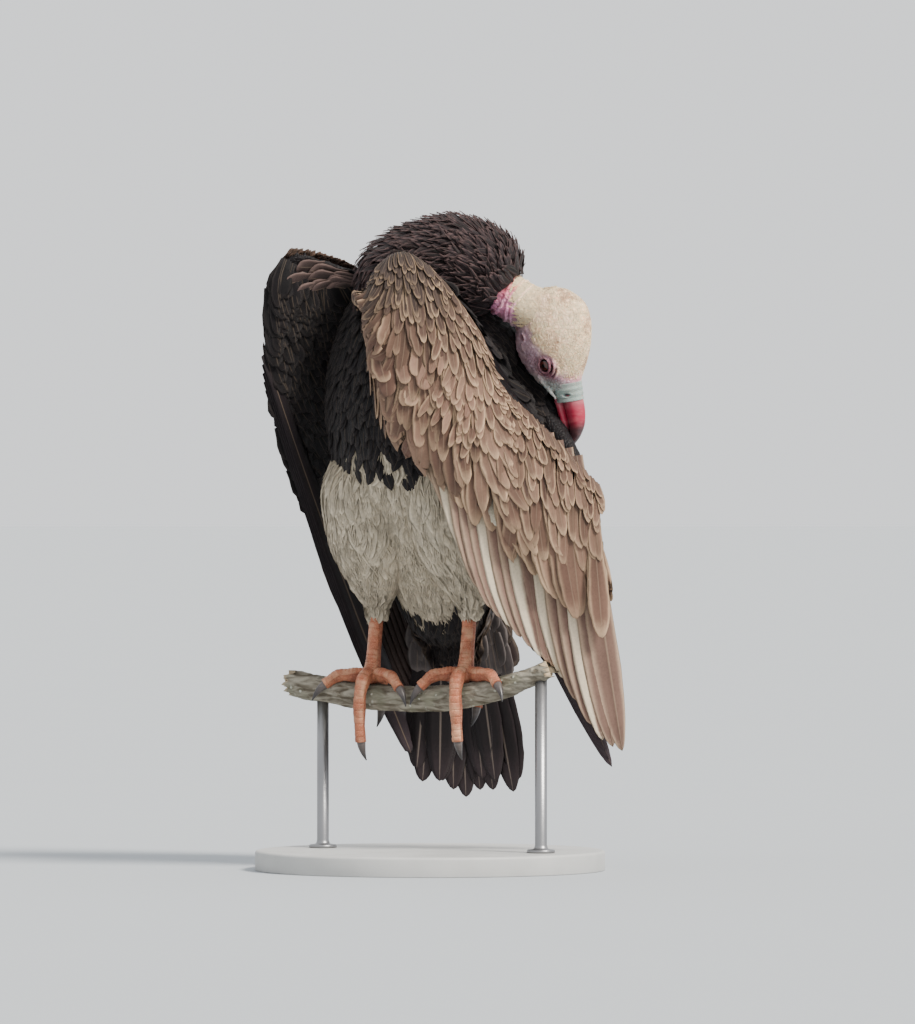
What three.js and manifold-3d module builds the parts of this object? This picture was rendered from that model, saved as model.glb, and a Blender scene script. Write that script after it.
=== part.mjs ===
// A white-headed vulture perched on a cut length of branch, preening under its half-open left wing.
// Millimetres, +Z up, -Y towards the viewer, +X to the viewer's right. The origin is the centre of
// the stand's flat underside.
import * as THREE from "three";
import { mergeVertices } from "three/addons/utils/BufferGeometryUtils.js";
import Module from "manifold-3d";

const wasm = await Module();
wasm.setup();

// ---- Driving dimensions ----
const GAP = 0.55; // clearance cut round a piece that sits in its neighbour
const BODY_YAW = THREE.MathUtils.degToRad(30); // the bird faces this far to its right of the viewer
const FEET_CENTRE = new THREE.Vector3(-11, 0, 0); // between the two feet, above the base
const FOOT_SPREAD = 54; // from that centre line to each foot

const BASE_RADIUS = 175;
const BASE_THICKNESS = 20;
const BASE_BEVEL = 3;
const ROD_RADIUS = 6;
const ROD_PLACES = [-112, 140]; // along the perch, from the feet's centre line

const PERCH_RADIUS = 12.5;
const PERCH_HALF_LENGTH = 150;
const PERCH_HEIGHT = 171; // axis of the perch at its lowest, between the feet
const PERCH_RISES = { left: 31, right: 15 }; // from there to the end on the bird's left and right

const TAIL_LENGTH = 248;
const TARSUS_RADIUS = 7;
const TARSUS_LENGTH = 92;
const TOE_RADIUS = 6.8;
const CLAW_LENGTH = 21;
const CLAW_GAP = 0.8;

const HEAD_CENTRE = new THREE.Vector3(125, -72, 543);
const BILL_DIRECTION = new THREE.Vector3(0.17, 0.1, -0.98).normalize();
const HEAD_ROLL = THREE.MathUtils.degToRad(30); // turns the crown towards the viewer
const EYE_RADIUS = 8.5;

const RUFF_RADIUS = 46;
const NECK_RADIUS = 22;

// ---- Directions of the body and of the head ----
const FORWARD = new THREE.Vector3(-Math.sin(BODY_YAW), -Math.cos(BODY_YAW), 0);
const LEFT = new THREE.Vector3(Math.cos(BODY_YAW), -Math.sin(BODY_YAW), 0);
const UP = new THREE.Vector3(0, 0, 1);

const viewerSide = new THREE.Vector3(1, 0, 0);
const uprightCrown = viewerSide.clone().addScaledVector(BILL_DIRECTION, -BILL_DIRECTION.x).normalize();
const CROWN = uprightCrown.clone().applyAxisAngle(BILL_DIRECTION, HEAD_ROLL);
const HEAD_RIGHT = new THREE.Vector3().crossVectors(BILL_DIRECTION, CROWN);

const at = (x, y, z) => new THREE.Vector3(x, y, z);
const scaled = (vector, size) => vector.clone().multiplyScalar(size);

/** A point in the body's own directions: forward, to its left, and height above the base. */
function inBody(forward, left, height) {
  return FEET_CENTRE.clone()
    .addScaledVector(FORWARD, forward)
    .addScaledVector(LEFT, left)
    .addScaledVector(UP, height);
}

/** A point in the head's own directions: along the bill, towards the crown, to its right. */
function inHead(along, crown, right) {
  return HEAD_CENTRE.clone()
    .addScaledVector(BILL_DIRECTION, along)
    .addScaledVector(CROWN, crown)
    .addScaledVector(HEAD_RIGHT, right);
}

// ---- Shapes ----

/** A closed geometry from rings of points, each end closed by a fan on its middle. */
function skinOver(rings) {
  const sides = rings[0].length;
  const points = rings.flat();
  const middleOf = (ring) => ring.reduce((sum, p) => sum.add(p), at(0, 0, 0)).divideScalar(sides);
  const first = points.push(middleOf(rings[0])) - 1;
  const last = points.push(middleOf(rings[rings.length - 1])) - 1;
  const faces = [];
  const top = (rings.length - 1) * sides;
  for (let j = 0; j < sides; j++) {
    const next = (j + 1) % sides;
    faces.push(first, next, j);
    faces.push(last, top + j, top + next);
    for (let i = 0; i + 1 < rings.length; i++) {
      const here = i * sides;
      const above = here + sides;
      faces.push(here + j, here + next, above + next);
      faces.push(here + j, above + next, above + j);
    }
  }
  const geometry = new THREE.BufferGeometry().setFromPoints(points);
  geometry.setIndex(volumeOf(points, faces) < 0 ? faces.reverse() : faces);
  return geometry;
}

/** The signed volume inside a list of triangles, six times over. */
function volumeOf(points, faces) {
  let sum = 0;
  for (let i = 0; i < faces.length; i += 3) {
    const [a, b, c] = [points[faces[i]], points[faces[i + 1]], points[faces[i + 2]]];
    sum += a.dot(b.clone().cross(c));
  }
  return sum;
}

/**
 * A body lofted through stations. Each station has a centre, a half-width vector, a half-depth
 * vector and, for a curved blade, a bow that lifts its middle. Fullness above 1 squares the section.
 */
function loft(stations, { rings = 12, sides = 14, fullness = 1 } = {}) {
  const through = (key) => {
    const values = stations.map((station) => station[key] ?? at(0, 0, 0));
    return new THREE.CatmullRomCurve3(values, false, "catmullrom", 0.5);
  };
  const [centre, wide, deep, bow] = ["centre", "wide", "deep", "bow"].map(through);
  const filled = (value) => Math.sign(value) * Math.abs(value) ** (1 / fullness);
  const made = [];
  for (let i = 0; i <= rings; i++) {
    const t = i / rings;
    const ring = [];
    for (let j = 0; j < sides; j++) {
      const turn = (j / sides) * 2 * Math.PI;
      const across = filled(Math.cos(turn));
      ring.push(
        centre
          .getPoint(t)
          .addScaledVector(wide.getPoint(t), across)
          .addScaledVector(deep.getPoint(t), filled(Math.sin(turn)))
          .addScaledVector(bow.getPoint(t), 1 - across * across),
      );
    }
    made.push(ring);
  }
  return skinOver(made);
}

/** A round limb through points, with one radius for each point. */
function limb(points, radii, options) {
  const path = new THREE.CatmullRomCurve3(points, false, "catmullrom", 0.5);
  const start = path.getTangent(0);
  const wide = start.clone().cross(Math.abs(start.z) > 0.8 ? at(0, 1, 0) : UP);
  const stations = points.map((centre, i) => {
    const along = path.getTangent(i / (points.length - 1));
    wide.addScaledVector(along, -wide.dot(along)).normalize();
    const deep = wide.clone().cross(along);
    return { centre, wide: wide.clone().multiplyScalar(radii[i]), deep: deep.multiplyScalar(radii[i]) };
  });
  return loft(stations, options);
}

/** A flat blade between a leading and a trailing edge, each given by matching points. */
function blade(leading, trailing, thicknesses, bowDepth, options) {
  const stations = leading.map((front, i) => {
    const back = trailing[i];
    const after = Math.min(i + 1, leading.length - 1);
    const before = Math.max(i - 1, 0);
    const along = leading[after].clone().add(trailing[after]).sub(leading[before]).sub(trailing[before]);
    const wide = back.clone().sub(front).multiplyScalar(0.5);
    const normal = wide.clone().cross(along).normalize();
    return {
      centre: front.clone().add(back).multiplyScalar(0.5),
      wide,
      deep: normal.clone().multiplyScalar(thicknesses[i] / 2),
      bow: normal.clone().multiplyScalar(bowDepth),
    };
  });
  return loft(stations, { fullness: 1.6, ...options });
}

/** The same geometry with its shared points merged and only their places kept. */
function welded(geometry) {
  const bare = geometry.clone();
  for (const name of Object.keys(bare.attributes)) {
    if (name !== "position") bare.deleteAttribute(name);
  }
  return mergeVertices(bare, 1e-3);
}

/** The geometry swollen outwards, to cut the clearance that its neighbour keeps. */
function swollen(geometry, distance) {
  const grown = welded(geometry);
  grown.computeVertexNormals();
  const place = grown.attributes.position;
  const normal = grown.attributes.normal;
  for (let i = 0; i < place.count; i++) {
    const moved = at(0, 0, 0).fromBufferAttribute(place, i);
    moved.addScaledVector(at(0, 0, 0).fromBufferAttribute(normal, i), distance);
    place.setXYZ(i, moved.x, moved.y, moved.z);
  }
  return grown;
}

function solidOf(geometry) {
  const { attributes, index } = welded(geometry);
  return new wasm.Manifold(
    new wasm.Mesh({
      numProp: 3,
      vertProperties: new Float32Array(attributes.position.array),
      triVerts: new Uint32Array(index.array),
    }),
  );
}

function geometryOf(solid) {
  const { vertProperties, triVerts } = solid.getMesh();
  const geometry = new THREE.BufferGeometry();
  geometry.setAttribute("position", new THREE.BufferAttribute(vertProperties.slice(), 3));
  geometry.setIndex([...triVerts]);
  return geometry;
}

/** The geometry less its neighbours and their clearance; any loose scrap is dropped. */
function fitted(geometry, neighbours) {
  let solid = solidOf(geometry);
  for (const neighbour of neighbours) {
    solid = solid.subtract(solidOf(swollen(neighbour, GAP)));
  }
  const [largest] = solid.decompose().sort((a, b) => b.volume() - a.volume());
  return geometryOf(largest);
}

// ---- Perch and stand ----

/** The perch's axis: a shallow sag under the bird, rising to its thin broken end. */
function perchPoint(along) {
  const share = along / PERCH_HALF_LENGTH;
  const rise = along > 0 ? PERCH_RISES.left : PERCH_RISES.right;
  return inBody(0, along, PERCH_HEIGHT + rise * share * share);
}

function makePerch() {
  const places = [-1, -0.55, -0.1, 0.2, 0.55, 0.85, 1].map((share) => share * PERCH_HALF_LENGTH);
  const radii = [1.05, 1.1, 1.0, 1.04, 0.92, 0.78, 0.66].map((share) => share * PERCH_RADIUS);
  return limb(places.map(perchPoint), radii, { rings: 12, sides: 8 });
}

function makeBase() {
  const profile = [
    [0, 0],
    [BASE_RADIUS - 1, 0],
    [BASE_RADIUS, 1],
    [BASE_RADIUS, BASE_THICKNESS - BASE_BEVEL],
    [BASE_RADIUS - BASE_BEVEL, BASE_THICKNESS],
    [0, BASE_THICKNESS],
  ].map(([radius, height]) => new THREE.Vector2(radius, height));
  return new THREE.LatheGeometry(profile, 36).rotateX(Math.PI / 2);
}

/** A rod with a foot flange, from the base's top face to the middle of the perch. */
function makeRod(along) {
  const top = perchPoint(along);
  const flange = 14;
  const profile = [
    [0, BASE_THICKNESS + 0.3],
    [flange, BASE_THICKNESS + 0.3],
    [flange, BASE_THICKNESS + 3.5],
    [ROD_RADIUS + 1, BASE_THICKNESS + 6],
    [ROD_RADIUS, BASE_THICKNESS + 8],
    [ROD_RADIUS, top.z],
    [0, top.z],
  ].map(([radius, height]) => new THREE.Vector2(radius, height));
  return new THREE.LatheGeometry(profile, 12).rotateX(Math.PI / 2).translate(top.x, top.y, 0);
}

// ---- Trunk, neck and head ----

function makeTrunk() {
  // forward place, height, half-width, half-depth, from the vent up to the root of the neck
  const sections = [
    [-66, 228, 26, 14],
    [-62, 250, 44, 34],
    [-52, 300, 66, 56],
    [-28, 360, 84, 74],
    [-4, 425, 93, 84],
    [14, 490, 90, 81],
    [27, 545, 70, 65],
    [34, 585, 44, 42],
    [36, 604, 12, 12],
  ];
  const axis = inBody(40, 0, 600).sub(inBody(-70, 0, 260)).normalize();
  const stations = sections.map(([forward, height, halfWidth, halfDepth]) => ({
    centre: inBody(forward, 0, height),
    wide: scaled(LEFT, halfWidth),
    deep: LEFT.clone().cross(axis).normalize().multiplyScalar(halfDepth),
  }));
  return loft(stations, { rings: 9, sides: 16 });
}

const NECK_LINE = [
  at(-26, -34, 535),
  at(-23, -42, 591),
  at(15, -56, 607),
  at(50, -63, 598),
  at(76, -67, 574),
];

function makeRuff() {
  const radii = [1.04, 1.08, 1.0, 0.98, 0.76].map((share) => share * RUFF_RADIUS);
  return limb(NECK_LINE, radii, { rings: 9, sides: 12 });
}

function makeNeck() {
  const points = [at(55, -63, 592), at(74, -67, 574), at(94, -69, 560), at(112, -71, 552)];
  const radii = [1.0, 1.05, 1.05, 0.9].map((share) => share * NECK_RADIUS);
  return limb(points, radii, { rings: 5, sides: 12 });
}

/** A station of the head: place along the bill's direction, lift to the crown, half sizes. */
function headStation([along, lift, halfHeight, halfWidth]) {
  return {
    centre: inHead(along, lift, 0),
    wide: scaled(CROWN, halfHeight),
    deep: scaled(HEAD_RIGHT, halfWidth),
  };
}

function makeHead() {
  const sections = [
    [-37, 0, 10, 8],
    [-32, 0, 22, 18],
    [-18, -2, 38, 27],
    [0, -3, 42, 31],
    [20, -6, 41.5, 30],
    [38, -6.5, 35, 25],
    [53, -5.5, 26, 19],
    [64, -2.5, 19, 14.5],
  ];
  return loft(sections.map(headStation), { rings: 11, sides: 12 });
}

function makeCere() {
  const sections = [
    [60, 0.5, 15.5, 13],
    [68, 1, 15.5, 12.2],
    [76, 1.5, 14.6, 11],
  ];
  return loft(sections.map(headStation), { rings: 3, sides: 14 });
}

function makeUpperBill() {
  const sections = [
    [74, 5, 10.5, 9.6],
    [88, 6, 9.5, 8.6],
    [101, 4.5, 8.2, 7],
    [111, 0.5, 6.6, 5],
    [119, -5, 4.4, 3.4],
    [125, -11, 1.2, 1.2],
  ];
  return loft(sections.map(headStation), { rings: 10, sides: 12 });
}

function makeLowerBill() {
  const sections = [
    [74, -9.5, 5, 8.2],
    [88, -8.5, 4.4, 7.2],
    [100, -7.5, 3.6, 5.6],
    [108, -6.5, 1.6, 2.6],
  ];
  return loft(sections.map(headStation), { rings: 6, sides: 10 });
}

function makeEye(side) {
  const centre = inHead(36, -6, side * 19);
  return new THREE.SphereGeometry(EYE_RADIUS, 10, 6).translate(centre.x, centre.y, centre.z);
}

// ---- Wings ----

/** Half-open left wing: its forearm runs from the wrist by the chest down to the raised elbow. */
const LEFT_WING_TOP = [
  at(-58, -138, 574),
  at(-45, -148, 606),
  at(-22, -148, 616),
  at(14, -142, 592),
  at(50, -130, 541),
  at(67, -122, 494),
  at(112, -116, 450),
  at(169, -106, 389),
];
const LEFT_COVERTS_EDGE = [
  at(-62, -136, 556),
  at(-54, -134, 500),
  at(-36, -126, 436),
  at(-2, -122, 402),
  at(32, -116, 370),
  at(72, -108, 330),
  at(112, -100, 300),
  at(174, -88, 284),
];
const LEFT_QUILL_ROOTS = [
  at(-34, -126, 470),
  at(8, -122, 430),
  at(50, -114, 392),
  at(100, -106, 350),
  at(172, -92, 320),
];
const LEFT_SECONDARY_TIPS = [
  at(-14, -112, 412),
  at(24, -100, 352),
  at(60, -86, 276),
  at(116, -66, 206),
  at(192, -46, 118),
];
const LEFT_HAND = [
  at(-44, -124, 540),
  at(-8, -106, 430),
  at(60, -84, 320),
  at(128, -52, 200),
  at(183, -32, 98),
];
const LEFT_HAND_INNER = [
  at(0, -116, 560),
  at(46, -100, 440),
  at(104, -80, 330),
  at(150, -50, 215),
  at(187, -30, 104),
];

function makeLeftArm() {
  const thick = [14, 26, 30, 28, 26, 26, 26, 16];
  return blade(LEFT_WING_TOP, LEFT_COVERTS_EDGE, thick, 9, { rings: 12, sides: 12 });
}

function makeLeftSecondaries() {
  const thick = [7, 9, 10, 10, 7];
  return blade(LEFT_QUILL_ROOTS, LEFT_SECONDARY_TIPS, thick, 6, { rings: 10, sides: 10 });
}

function makeLeftPrimaries() {
  const thick = [10, 10, 9, 7, 3];
  return blade(LEFT_HAND, LEFT_HAND_INNER, thick, 4, { rings: 9, sides: 8 });
}

/** The slack skin and shoulder feathers between the wing's top edge and the upper arm. */
const LEFT_SHOULDER_FRONT = [
  at(-34, -138, 600),
  at(12, -134, 584),
  at(50, -122, 534),
  at(69, -114, 488),
  at(112, -108, 442),
];
const LEFT_SHOULDER_BACK = [
  at(-20, -82, 590),
  at(20, -70, 560),
  at(58, -66, 524),
  at(90, -76, 478),
  at(128, -90, 434),
];

function makeLeftShoulder() {
  return blade(LEFT_SHOULDER_FRONT, LEFT_SHOULDER_BACK, [12, 20, 20, 18, 12], 6, { rings: 6, sides: 10 });
}

function makeLeftUpperArm() {
  const points = [at(20, -36, 545), at(56, -34, 524), at(98, -34, 472), at(146, -88, 408)];
  return limb(points, [34, 35, 26, 16], { rings: 5, sides: 10 });
}

/** Folded right wing: it hangs a little off the flank, its tip beside the tail. */
const RIGHT_LEADING = [at(-142, -58, 618), at(-166, -50, 572), at(-163, -6, 470), at(-136, 44, 375)];
const RIGHT_BACK = [at(-52, -14, 588), at(-46, 40, 566), at(-60, 116, 462), at(-42, 142, 372)];
const RIGHT_QUILL_ROOTS = [at(-144, 28, 425), at(-110, 76, 322), at(-70, 108, 240), at(-36, 138, 160)];
const RIGHT_SECONDARY_TIPS = [at(-62, 116, 432), at(-18, 156, 322), at(2, 166, 250), at(-6, 162, 180)];
const RIGHT_HAND = [
  at(-168, -46, 540),
  at(-160, 6, 446),
  at(-128, 56, 356),
  at(-84, 104, 258),
  at(-18, 154, 108),
];
const RIGHT_HAND_INNER = [
  at(-140, -20, 520),
  at(-128, 32, 440),
  at(-92, 82, 352),
  at(-56, 120, 258),
  at(-12, 158, 112),
];

function makeRightArm() {
  return blade(RIGHT_LEADING, RIGHT_BACK, [18, 30, 26, 14], 8, { rings: 10, sides: 12 });
}

function makeRightSecondaries() {
  return blade(RIGHT_QUILL_ROOTS, RIGHT_SECONDARY_TIPS, [10, 10, 9, 5], 4, { rings: 7, sides: 10 });
}

function makeRightPrimaries() {
  return blade(RIGHT_HAND, RIGHT_HAND_INNER, [8, 10, 10, 8, 4], 2, { rings: 9, sides: 8 });
}

// ---- Tail and legs ----

function makeTail() {
  const root = at(22, 84, 312);
  const direction = at(16, 62, -222).normalize();
  const across = at(1, -0.35, 0).normalize();
  const normal = across.clone().cross(direction).normalize();
  const sections = [
    [0, 26, 18],
    [0.3, 40, 14],
    [0.7, 56, 9],
    [0.9, 61, 6],
    [1, 54, 3],
  ];
  const stations = sections.map(([share, halfWidth, thickness]) => ({
    centre: root.clone().addScaledVector(direction, share * TAIL_LENGTH),
    wide: scaled(across, halfWidth),
    deep: scaled(normal, thickness / 2),
    bow: scaled(normal, -6),
  }));
  return loft(stations, { rings: 8, sides: 12, fullness: 1.6 });
}

function makeThigh(side) {
  const sections = [
    [24, 40, 430, 34],
    [20, 46, 380, 50],
    [8, 50, 325, 44],
    [-6, 53, 285, 27],
    [-9, 54, 262, 13],
  ];
  const points = sections.map(([forward, out, height]) => inBody(forward, side * out, height));
  return limb(points, sections.map((section) => section[3]), { rings: 6, sides: 12 });
}

/** The place of a foot: the top of the perch under it. */
function footPlace(side) {
  const place = perchPoint(side * FOOT_SPREAD);
  return place.setZ(place.z + PERCH_RADIUS);
}

function fromFoot(side, [forward, out, height]) {
  return footPlace(side)
    .addScaledVector(FORWARD, forward)
    .addScaledVector(LEFT, side * out)
    .addScaledVector(UP, height);
}

function makeTarsus(side) {
  const points = [
    [0, 0, 12],
    [-3, 0, 30],
    [-8, 0, 66],
    [-10, 0, TARSUS_LENGTH],
  ].map((place) => fromFoot(side, place));
  return limb(points, [8.6, TARSUS_RADIUS, TARSUS_RADIUS, 9], { rings: 6, sides: 10 });
}

// Each toe's run from the foot, as forward, outward and height: over the perch and round it.
const TOES = {
  middle: [[0, 0, 9], [14, 0, 7], [21.5, 1, -9], [21.5, 2, -34], [19, 2, -58]],
  inner: [[0, -2, 9], [7, -16, 8.5], [13, -30, 6.5], [18, -42, -4]],
  outer: [[0, 2, 9], [6, 18, 8.5], [10, 34, 7.5], [17, 46, -1]],
  hind: [[0, 0, 9], [-13, 0, 6.5], [-21.5, 1, -8], [-19.5, 1, -25]],
};

function makeToe(side, run) {
  const points = run.map((place) => fromFoot(side, place));
  const radii = run.map((_, i) => TOE_RADIUS * (1.08 - (0.36 * i) / (run.length - 1)));
  return limb(points, radii, { rings: 5, sides: 8 });
}

/** The four toes of one foot, joined at its ball. */
function makeFoot(side) {
  const [first, ...rest] = Object.values(TOES).map((run) => solidOf(makeToe(side, run)));
  return geometryOf(rest.reduce((foot, toe) => foot.add(toe), first));
}

/** A claw that carries on from the toe's end and curls under. */
function makeClaw(side, run) {
  const [before, end] = run.slice(-2).map((place) => fromFoot(side, place));
  const along = end.clone().sub(before).normalize();
  const inward = fromFoot(side, [0, 0, -PERCH_RADIUS]).sub(end);
  inward.addScaledVector(along, -inward.dot(along)).normalize();
  const points = [0, 0.35, 0.7, 1].map((share) =>
    end
      .clone()
      .addScaledVector(along, CLAW_LENGTH * share + CLAW_GAP)
      .addScaledVector(inward, CLAW_LENGTH * 0.35 * share * share),
  );
  return limb(points, [4.2, 3.6, 2.2, 0.6], { rings: 4, sides: 6 });
}

// ---- Assembly ----
const COLOURS = {
  wood: [0x8c8674, 0.9],
  stand: [0x9a9a98, 0.6],
  dark: [0x2b2526, 0.8],
  brown: [0x7b6250, 0.8],
  white: [0xd9d4c6, 0.9],
  cream: [0xe8d9b6, 0.8],
  pink: [0xc77a86, 0.6],
  leg: [0xc4766a, 0.6],
  cere: [0x9dbcb6, 0.5],
  bill: [0xb5303e, 0.4],
  claw: [0x2a2523, 0.4],
  eye: [0x2a120f, 0.15],
};

const shapes = new Map();
const finishes = new Map();
const cuts = new Map();

/** Registers a piece with its finish and the names of the pieces that are cut out of it. */
function addPiece(name, geometry, finish, cutBy = []) {
  shapes.set(name, geometry);
  finishes.set(name, finish);
  cuts.set(name, cutBy);
}

addPiece("stand_base", makeBase(), "stand");
ROD_PLACES.forEach((along, i) => addPiece(`stand_rod_${i + 1}`, makeRod(along), "stand"));
addPiece("perch", makePerch(), "wood", ["stand_rod_1", "stand_rod_2"]);

for (const [word, side] of [["left", 1], ["right", -1]]) {
  const foot = `foot_${word}`;
  const tarsus = `tarsus_${word}`;
  addPiece(tarsus, makeTarsus(side), "leg");
  addPiece(foot, makeFoot(side), "leg", ["perch", tarsus]);
  for (const [toe, run] of Object.entries(TOES)) {
    addPiece(`claw_${word}_${toe}`, makeClaw(side, run), "claw", ["perch", foot]);
  }
  addPiece(`thigh_${word}`, makeThigh(side), "white", side < 0 ? [tarsus, "thigh_left"] : [tarsus]);
}

addPiece("trunk", makeTrunk(), "dark", ["thigh_left", "thigh_right", "tarsus_left", "tarsus_right"]);
addPiece("head", makeHead(), "cream", ["eye_left", "eye_right"]);
addPiece("eye_left", makeEye(-1), "eye");
addPiece("eye_right", makeEye(1), "eye");
addPiece("cere", makeCere(), "cere", ["head"]);
addPiece("bill_upper", makeUpperBill(), "bill", ["cere"]);
addPiece("bill_lower", makeLowerBill(), "bill", ["cere", "bill_upper"]);
addPiece("ruff", makeRuff(), "dark", ["trunk"]);
addPiece("neck", makeNeck(), "pink", ["ruff", "head"]);

const BODY = ["trunk", "ruff", "neck", "head"];
const BILL = ["cere", "bill_upper", "bill_lower"];
addPiece("wing_left_upper_arm", makeLeftUpperArm(), "dark", [...BODY, ...BILL]);
addPiece("wing_left_coverts", makeLeftArm(), "brown", [...BODY, "wing_left_upper_arm"]);
addPiece("wing_left_shoulder", makeLeftShoulder(), "dark", [
  ...BODY,
  ...BILL,
  "wing_left_coverts",
  "wing_left_upper_arm",
]);
addPiece("wing_left_secondaries", makeLeftSecondaries(), "brown", [
  "wing_left_coverts",
  "wing_left_upper_arm",
  "perch",
]);
addPiece("wing_left_primaries", makeLeftPrimaries(), "dark", [
  "wing_left_coverts",
  "wing_left_secondaries",
  "wing_left_upper_arm",
  "trunk",
]);
addPiece("wing_right_coverts", makeRightArm(), "brown", BODY);
addPiece("wing_right_primaries", makeRightPrimaries(), "dark", [
  "wing_right_coverts",
  "trunk",
  "thigh_right",
]);
addPiece("wing_right_secondaries", makeRightSecondaries(), "dark", [
  "wing_right_coverts",
  "wing_right_primaries",
  "trunk",
  "thigh_right",
]);
addPiece("tail", makeTail(), "dark", ["trunk", "wing_right_secondaries", "wing_right_primaries", "perch"]);

const vulture = new THREE.Group();
for (const [name, geometry] of shapes) {
  const [colour, roughness] = COLOURS[finishes.get(name)];
  const neighbours = cuts.get(name).map((other) => shapes.get(other));
  const mesh = new THREE.Mesh(
    fitted(geometry, neighbours),
    new THREE.MeshStandardMaterial({ color: colour, roughness, metalness: 0 }),
  );
  mesh.name = name;
  vulture.add(mesh);
}

export default vulture;
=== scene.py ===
"""A white-headed vulture perched and preening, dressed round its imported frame.

Places and sizes are written in millimetres in the frame's own axes, +Z up and -Y to the front,
and become metres where a mesh is made.
"""

import logging
import math
from dataclasses import dataclass, field, replace
from enum import Enum

import bpy
import numpy as np
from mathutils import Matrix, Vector
from mathutils.noise import fractal


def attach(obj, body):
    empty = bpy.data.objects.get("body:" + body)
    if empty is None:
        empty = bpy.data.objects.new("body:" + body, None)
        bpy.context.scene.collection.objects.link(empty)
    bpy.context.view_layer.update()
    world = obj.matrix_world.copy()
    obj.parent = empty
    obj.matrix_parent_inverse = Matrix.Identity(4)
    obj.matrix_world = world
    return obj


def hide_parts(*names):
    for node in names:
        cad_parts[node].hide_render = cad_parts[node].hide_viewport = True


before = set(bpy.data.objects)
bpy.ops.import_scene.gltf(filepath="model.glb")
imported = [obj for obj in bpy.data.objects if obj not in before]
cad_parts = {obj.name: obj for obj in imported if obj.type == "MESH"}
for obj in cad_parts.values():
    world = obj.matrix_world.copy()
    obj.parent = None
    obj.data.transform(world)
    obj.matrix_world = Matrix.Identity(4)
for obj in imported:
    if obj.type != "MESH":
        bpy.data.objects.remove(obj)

LOG = logging.getLogger("vulture")
MM = 0.001
SEED = 20
TURN = 2 * math.pi
WAVE_TURN = 6.283  # one turn in a finish's waves
EVEN_U, EVEN_V = 0.7548776662, 0.5698402910  # steps that spread roots evenly, but in no rows
PATCH = 0.003  # the side of a tuft's patch in the bake map
END_SPAN = 0.015  # the share of a form's length that its slope at an end stands for

Array = np.ndarray
Chance = np.random.Generator
Mesh, Piece, Material, Socket = bpy.types.Mesh, bpy.types.Object, bpy.types.Material, bpy.types.NodeSocket
Colour = tuple[float, float, float]
Place = tuple[float, float, float]
Line = tuple[Place, ...]
Stations = tuple[tuple[float, float, float, float], ...]
Solid = tuple[Array, Array, Array]

BODY_YAW = math.radians(30)
FEET_CENTRE = np.array([-11.0, 0.0, 0.0])
FOOT_SPREAD = 54.0
FORWARD = np.array([-math.sin(BODY_YAW), -math.cos(BODY_YAW), 0.0])
LEFT = np.array([math.cos(BODY_YAW), -math.sin(BODY_YAW), 0.0])
UP = np.array([0.0, 0.0, 1.0])

# ---- small vector maths


def unit(vectors: Array) -> Array:
    """Scales vectors on the last axis to length one."""
    return vectors / np.maximum(np.linalg.norm(vectors, axis=-1, keepdims=True), 1e-9)


def spline(points: Array, t: Array) -> Array:
    """Follows a smooth curve through points.

    Args:
        points: One row for each point.
        t: Shares of the way from the first point to the last, of any shape.

    Returns:
        The curve's values, with the shape of t and then a point's own.
    """
    points = np.asarray(points, float)
    last = len(points) - 1
    place = np.clip(np.asarray(t, float), 0, 1) * last
    i = np.minimum(place.astype(int), last - 1)
    f = (place - i)[..., None]
    ends = np.concatenate([2 * points[:1] - points[1:2], points, 2 * points[-1:] - points[-2:-1]])
    a, b, c, d = ends[i], ends[i + 1], ends[i + 2], ends[i + 3]
    return 0.5 * (2 * b + (c - a) * f + (2 * a - 5 * b + 4 * c - d) * f**2 + (3 * b - a - 3 * c + d) * f**3)


def slope(points: Array, u: Array, reach: float = 0.01) -> Array:
    """How far a curve through points runs from just before each share to just past it."""
    return spline(points, np.clip(u + reach, 0, 1)) - spline(points, np.clip(u - reach, 0, 1))


def middles(count: int) -> Array:
    """The middles of equal steps from 0 to 1."""
    return (np.arange(count) + 0.5) / count


def shortened(rows: Array, cut: float) -> Array:
    """Vectors made shorter, but never nothing."""
    return unit(rows) * np.maximum(np.linalg.norm(rows, axis=1, keepdims=True) - cut, 0.6)


def ease(low: float, high: float, value: Array) -> Array:
    """Rises smoothly from 0 at low to 1 at high."""
    x = np.clip((np.asarray(value, float) - low) / (high - low), 0, 1)
    return x * x * (3 - 2 * x)


def blend(a: Colour | Array, b: Colour | Array, share: Array) -> Array:
    """Mixes two colours, or rows of them, by shares."""
    share = np.asarray(share, float)[..., None]
    return np.asarray(a) * (1 - share) + np.asarray(b) * share


def in_body(forward: float, left: float, height: float) -> Array:
    """The place of a point given in the body's own directions."""
    return FEET_CENTRE + forward * FORWARD + left * LEFT + height * UP


def body_place(points: Array) -> tuple[Array, Array]:
    """How far points lie ahead of the feet, and to the body's left."""
    away = points - FEET_CENTRE
    return away @ FORWARD, away @ LEFT


# ---- surfaces


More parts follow.
